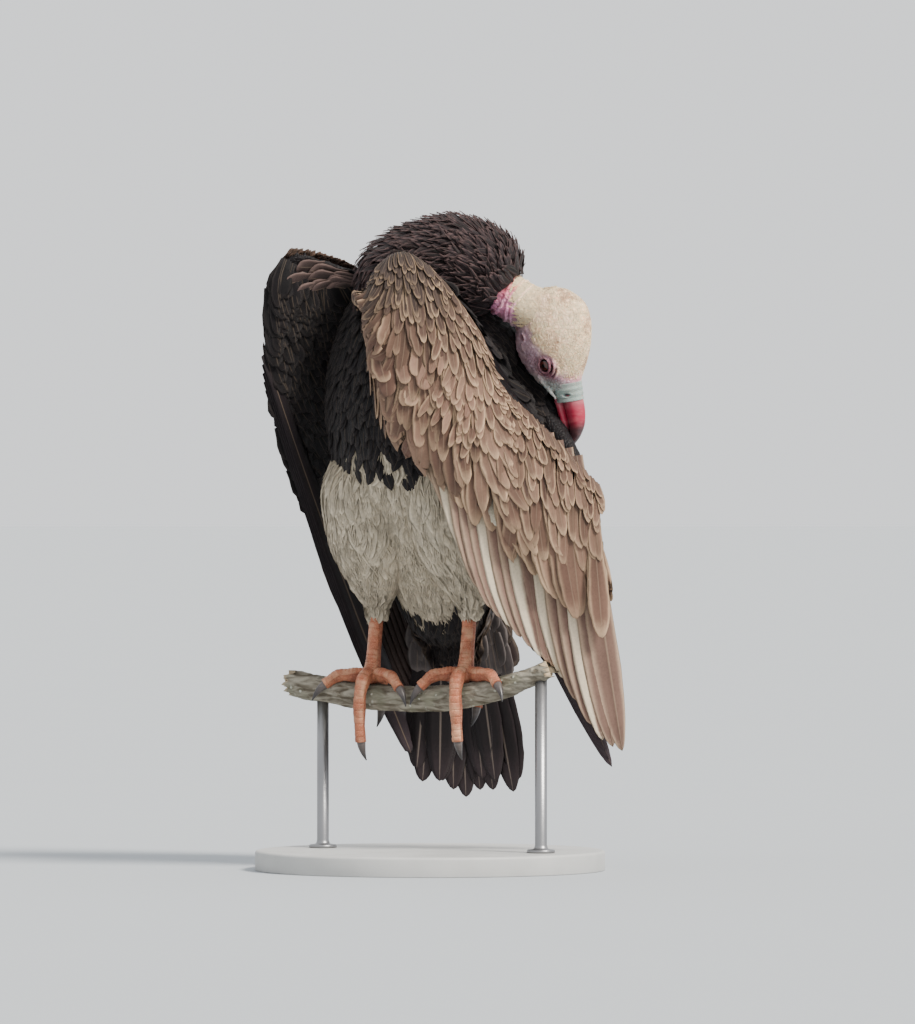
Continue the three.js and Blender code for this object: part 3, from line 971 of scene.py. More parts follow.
def lay(surface: Surface, plume: Plume, bed: Bed, rng: Chance, paint: "Paint", cells: bool = False) -> Feathers:
    """Grows feathers from a bed, along its surface.

    Args:
        surface: The surface.
        plume: The feathers' form.
        bed: Their roots.
        rng: The source of chance.
        paint: What colours them.
        cells: Whether each gets a cell of its own to bake into, instead of a patch at its root.

    Returns:
        The feathers.
    """
    s = ring_shares(plume.rings)
    spine, normal, us, vs = trace(
        surface, bed.u.copy(), bed.v.copy(), bed.sweep, plume.length * bed.length[:, None] * s[None]
    )
    height = plume.lift * (0.85 + 0.3 * rng.random(len(bed.u)))[:, None] * s[None] ** 1.3
    height = height - plume.sink * (1 - s[None]) ** 3
    points, vane = vanes(plume, spine + normal * height[..., None], normal, plume.width * bed.width,
                         bed.roll, rng)
    shade, fringe = paint.colours(spine[:, 0], bed, rng)
    if cells:
        return Feathers(points, vane, shade, fringe, cell_patches(vane, plume.length / plume.width))
    roots = 0.03 + 0.94 * np.stack([bed.u, bed.v % 1], axis=1)
    return Feathers(points, vane, shade, fringe, root_patches(vane, roots))


class Paint:
    """Gives each feather its two colours."""

    def colours(self, roots: Array, bed: Bed, rng: Chance) -> tuple[Array, Array]:
        """The vane's colour and its edge's colour, a row for each feather."""
        raise NotImplementedError


@dataclass(frozen=True)
class Plain(Paint):
    """Feathers of one colour with an edge of another, each a little lighter or darker."""

    shade: Colour
    fringe: Colour
    vary: float = 0.12

    def colours(self, roots: Array, bed: Bed, rng: Chance) -> tuple[Array, Array]:
        """The two colours, varied for each feather."""
        tone = rng.normal(1, self.vary, (len(roots), 1))
        return np.asarray(self.shade) * tone, np.asarray(self.fringe) * (0.6 + 0.4 * tone)


@dataclass(frozen=True)
class WornAndSunlit(Paint):
    """Brown wing feathers, worn at random, and painted lighter and paler-edged the further they lie from the wrist:
    partly paler feather edges, partly painted sunlight on that part of the wing.
    """

    dark: float = 1.0

    def colours(self, roots: Array, bed: Bed, rng: Chance) -> tuple[Array, Array]:
        """The two colours, varied for each feather."""
        # painted light: the share towards the elbow, where the sun falls, lightens the tone and widens the pale edges
        sunlit_share = ease(0.15, 0.6, bed.u)
        worn = np.clip(rng.normal(0.15 + 0.3 * sunlit_share, 0.28), 0, 0.8)
        tone = (rng.normal(1, 0.14, len(roots)) * self.dark * (0.72 + 0.28 * sunlit_share))[:, None]
        shade = blend(Feather.UMBER, Feather.WORN, worn * 0.6) * tone
        ashen = 0.88 * (1 - ease(0.3, 0.55, bed.u)) * (1 - ease(0.06, 0.28, bed.v))
        shade = blend(shade, Feather.ASH, ashen)
        pale = np.clip(rng.normal(0.3 + 0.5 * sunlit_share, 0.25), 0.05, 1)
        return shade, blend(shade, Feather.UMBER_EDGE, pale)


class Feather:
    """The plumage's colours."""

    # near-black, darkened further so that it also stands for the painted shade on the breast, the wing linings and
    # the shoulders
    SOOT: Colour = (0.0065, 0.005, 0.006)
    SOOT_EDGE: Colour = (0.02, 0.0145, 0.014)
    BLACK_BROWN: Colour = (0.022, 0.014, 0.013)
    UMBER: Colour = (0.135, 0.072, 0.052)
    UMBER_EDGE: Colour = (0.78, 0.53, 0.33)
    WORN: Colour = (0.42, 0.255, 0.17)
    ASH: Colour = (0.042, 0.03, 0.027)
    TAWNY: Colour = (0.2, 0.118, 0.09)
    TAWNY_EDGE: Colour = (0.55, 0.39, 0.27)
    PALE_WEB: Colour = (0.76, 0.63, 0.46)
    SNOW: Colour = (0.57, 0.475, 0.34)
    SNOW_EDGE: Colour = (0.71, 0.61, 0.46)
    SLATE: Colour = (0.06, 0.05, 0.05)
    SLATE_EDGE: Colour = (0.13, 0.11, 0.105)
    CREAM: Colour = (1.0, 0.71, 0.4)
    CREAM_EDGE: Colour = (1.0, 0.84, 0.58)

    @staticmethod
    def downy_coat() -> tuple[tuple[Plume, int, float], ...]:
        """The two layers of the white underparts, broad soft feathers and loose fine tufts over them."""
        broad = Plume(40, 15, 2.4, 1.6, root_width=0.5, widest=0.55, squareness=1.7, rings=7, fray=0.1,
                      camber=0.08, thickness=0.35)
        fine = Plume(34, 3.2, 3.4, 1.6, root_width=0.6, widest=0.4, squareness=1.3, rings=6, fray=0.2,
                     camber=0.1, thickness=0.3, section=Section.TUFT)
        return (broad, 5200, 0.2), (fine, 15000, 0.26)


# ---- the head's own directions

HEAD_CENTRE = np.array([125.0, -72.0, 543.0])
BILL_DIRECTION = unit(np.array([0.17, 0.1, -0.98]))
HEAD_ROLL = math.radians(30)
EYE = (36, -6, 19)  # along the bill, towards the crown and to the side


def head_axes() -> tuple[Array, Array]:
    """The directions of the head's crown and of its right side."""
    upright = unit(np.array([1.0, 0, 0]) - BILL_DIRECTION[0] * BILL_DIRECTION)
    crown = upright * math.cos(HEAD_ROLL) + np.cross(BILL_DIRECTION, upright) * math.sin(HEAD_ROLL)
    return crown, np.cross(BILL_DIRECTION, crown)


CROWN, HEAD_RIGHT = head_axes()


def in_head(along: float, crown: float, right: float) -> Array:
    """The place of a point given in the head's own directions."""
    return HEAD_CENTRE + along * BILL_DIRECTION + crown * CROWN + right * HEAD_RIGHT


def head_tube(sections: Stations, inset: float = 0.0) -> Tube:
    """A tube along the bill's direction, from place, lift, half-height and half-width."""
    return Tube(
        [in_head(along, lift, 0) for along, lift, _, _ in sections],
        np.array([tall * CROWN for _, _, tall, _ in sections]),
        np.array([wide * HEAD_RIGHT for _, _, _, wide in sections]),
        inset,
    )


def head_place(points: Array) -> tuple[Array, Array, Array]:
    """Points as places along the bill, towards the crown and to the head's right."""
    away = points - HEAD_CENTRE
    return away @ BILL_DIRECTION, away @ CROWN, away @ HEAD_RIGHT


def bumpy(points: Array, size: float, octaves: int = 3) -> Array:
    """Smooth noise about nought at points, with features of a given size."""
    return np.array([fractal(Vector(p) / size, 1.0, 2.0, octaves) for p in points])


def bake_mesh(name: str, solid: Solid, voxel: float, smooth: int) -> Mesh:
    """Melts the parts of a solid into one skin.

    Args:
        name: The skin's name.
        solid: Its parts, which may overlap.
        voxel: The size of the new faces, in millimetres.
        smooth: How often the skin is smoothed.

    Returns:
        The skin.
    """
    rough = placed(name, mesh_from(name, *solid))
    remesh = rough.modifiers.new("remesh", "REMESH")
    remesh.mode, remesh.voxel_size = "VOXEL", voxel * MM
    relax = rough.modifiers.new("relax", "SMOOTH")
    relax.iterations, relax.factor = smooth, 0.5
    skin = bpy.data.meshes.new_from_object(rough.evaluated_get(bpy.context.evaluated_depsgraph_get()))
    bpy.data.objects.remove(rough)
    return skin


def mesh_points(mesh: Mesh) -> Array:
    """A mesh's points, in millimetres."""
    flat = np.empty(len(mesh.vertices) * 3, np.float32)
    mesh.vertices.foreach_get("co", flat)
    return flat.reshape(-1, 3).astype(float) / MM


def mesh_normals(mesh: Mesh) -> Array:
    """A mesh's normals at its points."""
    flat = np.empty(len(mesh.vertices) * 3, np.float32)
    mesh.vertex_normals.foreach_get("vector", flat)
    return flat.reshape(-1, 3).astype(float)


def move_points(mesh: Mesh, points: Array) -> None:
    """Puts a mesh's points in new places, given in millimetres."""
    mesh.vertices.foreach_set("co", packed(points * MM))
    mesh.update()


def colour_mesh(mesh: Mesh, shade: Array, fringe: Array) -> None:
    """Gives a mesh's points the two colours that its finish reads."""
    add_colour(mesh, "shade", np.clip(shade, 0, 1))
    add_colour(mesh, "fringe", np.clip(fringe, 0, 1))


def solid_piece(name: str, tube: Surface, rings: int, sides: int) -> Mesh:
    """A mesh of one closed tube, with its steps along and round."""
    return mesh_from(name, *tube_solid(tube, rings, sides))


# ---- sub-assemblies


@dataclass
class Stand:
    """The flat round base and the two rods that carry the perch."""

    radius: float = 175.0
    thickness: float = 20.0
    bevel: float = 3.0
    rod_radius: float = 6.0
    flange: float = 14.0
    rod_places: tuple[float, float] = (-112.0, 140.0)
    sides: int = 160

    def lathe(self, profile: list[tuple[float, float]], axis: Array) -> Solid:
        """Turns a profile of radius and height, from the axis to the axis, about a vertical axis."""
        turn = np.arange(self.sides) / self.sides * TURN
        radius, height = (np.array(profile[1:-1])[:, i, None] for i in (0, 1))
        rings = np.stack([radius * np.cos(turn), radius * np.sin(turn), height + 0 * turn], axis=-1)
        return solid_of(rings + axis, rings * (0, 0, 1) + axis)

    def rod(self, top: Array) -> Solid:
        """One rod with its foot flange, up to a place on the perch."""
        foot, wide, rod, end = self.thickness, self.flange, self.rod_radius, top[2] - 3
        profile = [(0, foot), (wide - 1, foot), (wide, foot + 0.5), (wide, foot + 2.6), (wide - 0.8, foot + 3.4),
                   (rod + 2, foot + 4), (rod + 0.8, foot + 5), (rod, foot + 8), (rod, end), (0, end)]
        return self.lathe(profile, top * (1, 1, 0))

    def build(self, perch: "Perch") -> list[Piece]:
        """Makes the base and the rods."""
        r, t, b = self.radius, self.thickness, self.bevel
        arc = [(r - b + b * math.sin(a), t - b + b * math.cos(a)) for a in np.linspace(math.pi / 2, 0, 7)]
        profile = [(0, 0), (r - 2, 0), (r - 1, 0), (r - 0.3, 0.3), (r, 1), *arc, (r - b - 1, t), (0, t)]
        rods = joined([self.rod(perch.axis(along)) for along in self.rod_places])
        steel = PaintedMetal("rod_steel", (0.3, 0.3, 0.31), 0.35, 0.9)
        return [
            shown(mesh_from("base", *self.lathe(profile, np.zeros(3))), PaintedMetal("base_paint").make(), "stand",
                  "stand_base"),
            shown(mesh_from("rods", *rods), steel.make(), "stand", "stand_rod_1", "stand_rod_2"),
        ]


@dataclass(frozen=True)
class PaintedMetal:
    """Powder-coated or brushed metal with fine grain and small scuffs."""

    name: str
    tone: Colour = (0.45, 0.45, 0.44)
    roughness: float = 0.55
    metallic: float = 0.0

    def make(self) -> Material:
        """Builds the material."""
        shader = Shader(self.name, Metallic=self.metallic)
        grain = shader.noise(1500.0, 2.0)
        cloud = shader.noise(14.0, 5.0)
        dark = tuple(0.86 * part for part in self.tone)
        shader.colour(shader.mix(self.tone, dark, cloud.rise(0.35, 0.7)))
        shader.rough(self.roughness + (grain - 0.5) * 0.12 + cloud.rise(0.55, 0.75) * 0.1)
        shader.bump(grain, 0.00008)
        return shader.material


@dataclass
class Perch:
    """The cut length of dead branch that the feet hold."""

    radius: float = 12.5
    half_length: float = 150.0
    height: float = 171.0
    rise_left: float = 31.0
    rise_right: float = 15.0
    places: tuple[float, ...] = (-1, -0.55, -0.1, 0.2, 0.55, 0.85, 1)
    shares: tuple[float, ...] = (1.05, 1.1, 1.0, 1.04, 0.92, 0.78, 0.66)

    def axis(self, along: float) -> Array:
        """A point of the branch's middle line."""
        rise = self.rise_left if along > 0 else self.rise_right
        return in_body(0, along, self.height + rise * (along / self.half_length) ** 2)

    def tube(self) -> Tube:
        """The branch's plain form."""
        points = [self.axis(place * self.half_length) for place in self.places]
        return Tube.limb(points, [share * self.radius for share in self.shares])

    def build(self) -> Piece:
        """Makes the branch with its ridged bark, knots and splintered ends."""
        tube, rings, sides = self.tube(), 260, 96
        flat, loops, totals = tube_solid(tube, rings, sides)
        u = np.repeat(np.linspace(0, 1, rings + 1), sides)
        axis = tube.inside(u, u)
        out = unit(flat - axis)
        along = flat @ LEFT
        stretched = flat * 0.55 + np.outer(along, LEFT) * -0.38
        ridge = np.abs(bumpy(stretched, 4.2, 4))
        lumps = bumpy(flat, 30.0, 2)
        clear = np.minimum(np.abs(along - FEET_CENTRE @ LEFT - FOOT_SPREAD),
                           np.abs(along - FEET_CENTRE @ LEFT + FOOT_SPREAD))
        loose = ease(24, 40, clear)
        flat = flat + out * (lumps * 1.6 * loose - ridge * 2.0 + 0.5)[:, None]
        ends = ease(0.965, 1.0, u) + ease(0.02, 0.0, u)
        shard = bumpy(out * 14 + 50, 4.0, 3)
        reach = np.sign(u - 0.5) * ends * (shard * 9 - 2)
        flat = flat + reach[:, None] * LEFT
        mesh = mesh_from("branch", flat, loops, totals)
        wood = np.broadcast_to([0.42, 0.33, 0.22], (len(flat), 3))
        core = np.zeros((len(flat), 3)) + (ease(0.985, 1.0, u) + ease(0.008, 0.0, u))[:, None]
        colour_mesh(mesh, wood * (0.8 + 0.4 * ridge[:, None]), core)
        return shown(mesh, BarkFinish("bark").make(), "perch_bark", "perch")


@dataclass
class Trunk:
    """The body between neck and tail with its contour feathers."""

    sections: Stations = (
        (-66, 228, 26, 14), (-62, 250, 44, 34), (-52, 300, 66, 56), (-28, 360, 84, 74), (-4, 425, 93, 84),
        (14, 490, 90, 81), (27, 545, 70, 65), (34, 585, 44, 42), (36, 604, 12, 12),
    )
    coat_depth: float = 8.0

    def tube(self, inset: float) -> Tube:
        """The body's form, so far inside its full size."""
        axis = in_body(40, 0, 600) - in_body(-70, 0, 260)
        deep = unit(np.cross(LEFT, axis))
        return Tube(
            [in_body(forward, 0, height) for forward, height, _, _ in self.sections],
            np.array([wide * LEFT for _, _, wide, _ in self.sections]),
            np.array([thick * deep for _, _, _, thick in self.sections]),
            inset,
        )

    @staticmethod
    def white(points: Array) -> Array:
        """How far a place lies in the white of the belly: 0 outside and 1 inside."""
        ahead, side = body_place(points)
        border = 428 - 0.0042 * (side + 12) ** 2 + 14 * np.sin(side * 0.16)
        below = ease(16, -16, points[:, 2] - border)
        return below * ease(-34, 0, ahead) * ease(216, 236, points[:, 2])

    def build(self) -> list[Piece]:
        """Makes the dark coat and the white belly."""
        rng = np.random.default_rng(SEED)
        surface = self.tube(5.0)
        dark, back = Coat("coat_breast"), Coat("coat_back")
        bed = Bed.scattered(6400, rng, math.pi, 0.2, v=(0, 1))
        roots = surface.point(bed.u, bed.v)
        area = np.linalg.norm(spline(surface.wide, bed.u), axis=1) / 93
        white = self.white(roots)
        pick = rng.random(len(white))
        front = np.sin(bed.v * TURN) > -0.15
        breast = (pick < area) & (white < 0.5) & front
        mantle = (pick < area * 0.45) & (white < 0.5) & ~front
        belly = (pick < area * 1.2) & (white >= 0.5)
        dark.add(lay(surface, Plume(36, 12, 5.5, 2, squareness=1.7, fray=0.1), bed.only(breast), rng,
                     Plain(Feather.SOOT, Feather.SOOT_EDGE)))
        back.add(lay(surface, Plume(52, 32, 6, 2, rings=8), bed.only(mantle), rng,
                     Plain(Feather.BLACK_BROWN, (0.16, 0.115, 0.085))))
        under = Coat("coat_belly")
        for tuft, count, swing in Feather.downy_coat():
            more = Bed.scattered(count, rng, math.pi, swing, vary=0.2)
            keep = self.white(surface.point(more.u, more.v)) > 0.4
            under.add(lay(surface, tuft, more.only(keep), rng, Plain(Feather.SNOW, Feather.SNOW_EDGE, 0.03)))
        return [
            dark.build(FeatherFinish("breast_feathers", edge=(0.6, 1.0), shaft_share=0.15).make(),
                       "dark_feathers", "trunk"),
            back.build(FeatherFinish("back_feathers", edge=(0.7, 1.05)).make(), "dark_feathers", "trunk"),
            under.build(DownFinish("belly_down").make(), "white_feathers", "trunk"),
        ]


@dataclass
class Legs:
    """Feathered thighs, bare scaled shanks and feet, and the claws."""

    thigh: Stations = ((24, 40, 430, 34), (20, 46, 380, 50), (8, 50, 325, 44), (-6, 53, 285, 27), (-9, 54, 262, 13))
    shank: Stations = ((0, 0, 12, 8.6), (-3, 0, 30, 7), (-8, 0, 66, 7), (-10, 0, 92, 9))
    toes: dict[str, list[tuple[float, float, float]]] = field(default_factory=lambda: {
        "middle": [(0, 0, 9), (14, 0, 7), (21.5, 1, -9), (21.5, 2, -34), (19, 2, -58)],
        "inner": [(0, -2, 9), (7, -16, 8.5), (13, -30, 6.5), (18, -42, -4)],
        "outer": [(0, 2, 9), (6, 18, 8.5), (10, 34, 7.5), (17, 46, -1)],
        "hind": [(0, 0, 9), (-13, 0, 6.5), (-21.5, 1, -8), (-19.5, 1, -25)],
    })
    toe_radius: float = 6.8
    claw_length: float = 21.0
    perch: Perch = field(default_factory=Perch)

    def foot(self, side: int, place: tuple[float, float, float]) -> Array:
        """A point given from the top of the perch under one foot."""
        forward, out, height = place
        start = self.perch.axis(side * FOOT_SPREAD) + UP * self.perch.radius
        return start + forward * FORWARD + side * out * LEFT + height * UP

    def thigh_tube(self, side: int, inset: float) -> Tube:
        """One thigh."""
        points = [in_body(forward, side * out, height) for forward, out, height, _ in self.thigh]
        return Tube.limb(points, [row[3] for row in self.thigh], inset)

    def shank_tube(self, side: int) -> Tube:
        """One shank."""
        return Tube.limb([self.foot(side, row[:3]) for row in self.shank], [row[3] for row in self.shank])

    def toe_tube(self, side: int, run: list[tuple[float, float, float]], grow: float = 0.0) -> Tube:
        """One toe, with swollen joints."""
        points = spline(np.array([self.foot(side, place) for place in run]), np.linspace(0, 1, 13))
        t = np.linspace(0, 1, 13)
        radii = self.toe_radius * (1.08 - 0.36 * t) * (1 + 0.07 * np.cos(t * 6 * math.pi)) + grow
        return Tube.limb(points, list(radii))

    def flesh(self) -> Forms:
        """The bare parts, for the skin."""
        tubes = []
        for side in (1, -1):
            tubes.append((self.shank_tube(side), 60, 32))
            tubes += [(self.toe_tube(side, run), 60, 32) for run in self.toes.values()]
            pad = [self.foot(side, place) for place in ((-9, 0, 8.5), (0, 0, 9), (9, 0, 8.5))]
            tubes.append((Tube.limb(pad, [7.5, 9.5, 7.5]), 14, 24))
        return tubes

    def scutes(self) -> Piece:
        """The broad plates along the top of each toe and down the front of each shank."""
        parts = []
        for side in (1, -1):
            runs = [(self.toe_tube(side, run, 0.25), 5 + 2 * len(run), True) for run in self.toes.values()]
            for tube, count, toe in (*runs, (self.shank_tube(side), 16, False)):
                parts += [self.scute(tube, side, (i + 0.06) / count, min((i + 1.12) / count, 0.995), toe)
                          for i in range(count)]
        mesh = mesh_from("scutes", *joined(parts))
        points = mesh_points(mesh)
        tone = (0.9 + 0.25 * bumpy(points, 9.0, 2))[:, None]
        colour_mesh(mesh, np.array([0.46, 0.17, 0.095]) * tone, np.array([0.72, 0.44, 0.27]) * tone)
        return shown(mesh, SkinFinish("scute_horn", 0.42, 0.05, 500.0, 0.0002).make(), "leg_skin")

    def scute(self, tube: Tube, side: int, low: float, high: float, toe: bool) -> Solid:
        """One plate, a thin domed tile on the outer side of a tube from share low to share high."""
        steps, spread = 6, 9
        u, w = np.meshgrid(np.linspace(low, high, steps), np.linspace(-1, 1, spread), indexing="ij")
        axis = tube.inside(u, u)
        middle = self.foot(side, (0, 0, -self.perch.radius))
        top = (axis - middle) - ((axis - middle) @ LEFT)[..., None] * LEFT if toe else np.zeros_like(axis) + FORWARD
        ahead = unit(slope(tube.centre, u))
        top = unit(top - np.sum(top * ahead, axis=-1, keepdims=True) * ahead)
        flank = np.cross(ahead, top)
        radius = np.linalg.norm(spline(tube.wide, u), axis=-1)
        angle = w * 1.15
        s = (u - low) / (high - low)
        rise = 0.25 + 0.75 * np.sin(math.pi * np.clip(s, 0.04, 0.96)) ** 0.5 * (1 - np.abs(w) ** 4)
        out = top * np.cos(angle)[..., None] + flank * np.sin(angle)[..., None]
        outer = axis + out * (radius + rise * 0.95)[..., None]
        inner = axis + out * (radius - 1.2)[..., None]
        points = np.concatenate([outer.reshape(-1, 3), inner.reshape(-1, 3)])
        index = np.arange(steps * spread).reshape(steps, spread)
        under = index + steps * spread
        rim = np.concatenate([index[0], index[1:, -1], index[-1, -2::-1], index[-2:0:-1, 0]])
        low_rim = rim + steps * spread
        walls = np.stack([np.roll(rim, -1), rim, low_rim, np.roll(low_rim, -1)], axis=-1)
        faces = np.concatenate([grid_quads(index), grid_quads(under)[:, ::-1], walls])
        corner = points[faces[0]]
        facing = np.dot(np.cross(corner[1] - corner[0], corner[2] - corner[0]), out[0, 4])
        faces = faces if facing > 0 else faces[:, ::-1]
        return points, faces.ravel(), np.full(len(faces), 4)

    def claws(self) -> list[Piece]:
        """The eight claws."""
        made = []
        horn = HornFinish("claw_horn", 0.35, 0.3).make()
        for word, side in (("left", 1), ("right", -1)):
            for toe, run in self.toes.items():
                before, end = self.foot(side, run[-2]), self.foot(side, run[-1])
                along = unit(end - before)
                inward = self.foot(side, (0, 0, -self.perch.radius)) - end
                inward = unit(inward - np.dot(inward, along) * along)
                t = np.linspace(0, 1, 9)[:, None]
                points = end + along * (self.claw_length * t - 2) + inward * self.claw_length * 0.35 * t**2
                radii = 4.2 * (1 - t[:, 0] ** 1.5) + 0.35
                mesh = solid_piece(f"claw_{word}_{toe}_horn", Tube.limb(points, list(radii)), 30, 24)
                away = np.linalg.norm(mesh_points(mesh) - end, axis=1)
                dark = blend((0.075, 0.06, 0.055), (0.018, 0.015, 0.016), ease(2, 16, away))
                colour_mesh(mesh, dark, dark * 2.2)
                made.append(shown(mesh, horn, "claw", f"claw_{word}_{toe}"))
        return made

    def trousers(self) -> list[Piece]:
        """The loose white feathers of both thighs."""
        rng, finish = np.random.default_rng(SEED + 1), DownFinish("thigh_down").make()
        made = []
        for side, name in ((1, "left"), (-1, "right")):
            surface, coat = self.thigh_tube(side, 5.0), Coat(f"coat_thigh_{name}")
            for tuft, count, swing in Feather.downy_coat():
                bed = Bed.scattered(int(count * 0.14), rng, 0.0, swing, 0.2, u=(0.05, 0.93))
                spread = np.linalg.norm(spline(surface.wide, bed.u), axis=1) / 45
                bed = bed.only(rng.random(len(bed.u)) < spread)
                bed.length = bed.length * (1.1 - 0.45 * ease(0.5, 0.95, bed.u))
                coat.add(lay(surface, tuft, bed, rng, Plain(Feather.SNOW, Feather.SNOW_EDGE, 0.03)))
            made.append(coat.build(finish, "white_feathers", f"thigh_{name}"))
        return made


@dataclass
class Neck:
    """The ruff of lance-shaped feathers and the bare wrinkled neck that leaves it."""

    ruff_line: Line = ((-26, -34, 535), (-23, -42, 591), (15, -56, 607), (50, -63, 598), (76, -67, 574))
    ruff_radii: tuple[float, ...] = (47.8, 49.7, 46.0, 45.1, 35.0)
    bare_line: Line = ((55, -63, 592), (74, -67, 575), (94, -69, 562), (114, -71, 556))
    bare_radii: tuple[float, ...] = (22.0, 23.1, 23.4, 22.5)

    def flesh(self) -> Forms:
        """The forms under the skin."""
        return [(Tube.limb(self.ruff_line, [radius - 12 for radius in self.ruff_radii]), 60, 48)]

    def bare(self) -> Forms:
        """The bare neck with folds round it."""
        tubes = [(Tube.limb(self.bare_line, [radius - 1.5 for radius in self.bare_radii]), 50, 64)]
        body = Tube.limb(self.bare_line, list(self.bare_radii))
        for i, share in enumerate((0.16, 0.27, 0.38, 0.49, 0.6)):
            v = np.linspace(0, 1, 17)
            wave = share + 0.045 * np.sin(v * 4 * math.pi + i * 1.3)
            ring = body.point(np.clip(wave, 0, 1), v) * 0.96 + body.inside(np.full(17, share), v) * 0.04
            tubes.append((Tube.limb(ring, [2.4 - 0.25 * i] * 17), 72, 10))
        return tubes

    def ruff(self) -> Piece:
        """The ruff's feathers, which point from the head back over the body."""
        rng = np.random.default_rng(SEED + 2)
        surface = Tube.limb(self.ruff_line, [radius - 7 for radius in self.ruff_radii])
        coat = Coat("coat_ruff")
        plume = Plume(34, 7.5, 10, 2, root_width=0.5, widest=0.45, squareness=1.2, rings=7, fray=0.16,
                      thickness=0.7)
        bed = Bed.scattered(2400, rng, math.pi, 0.34, 0.25, u=(0.05, 1.0)).dwindling(0.75, 1.0, 0.35)
        coat.add(lay(surface, plume, bed, rng, Plain((0.016, 0.0105, 0.0125), (0.1, 0.06, 0.058), 0.35)))
        return coat.build(FeatherFinish("ruff_feathers", edge=(0.5, 1.0), shaft_share=0.1).make(),
                          "dark_feathers", "ruff")


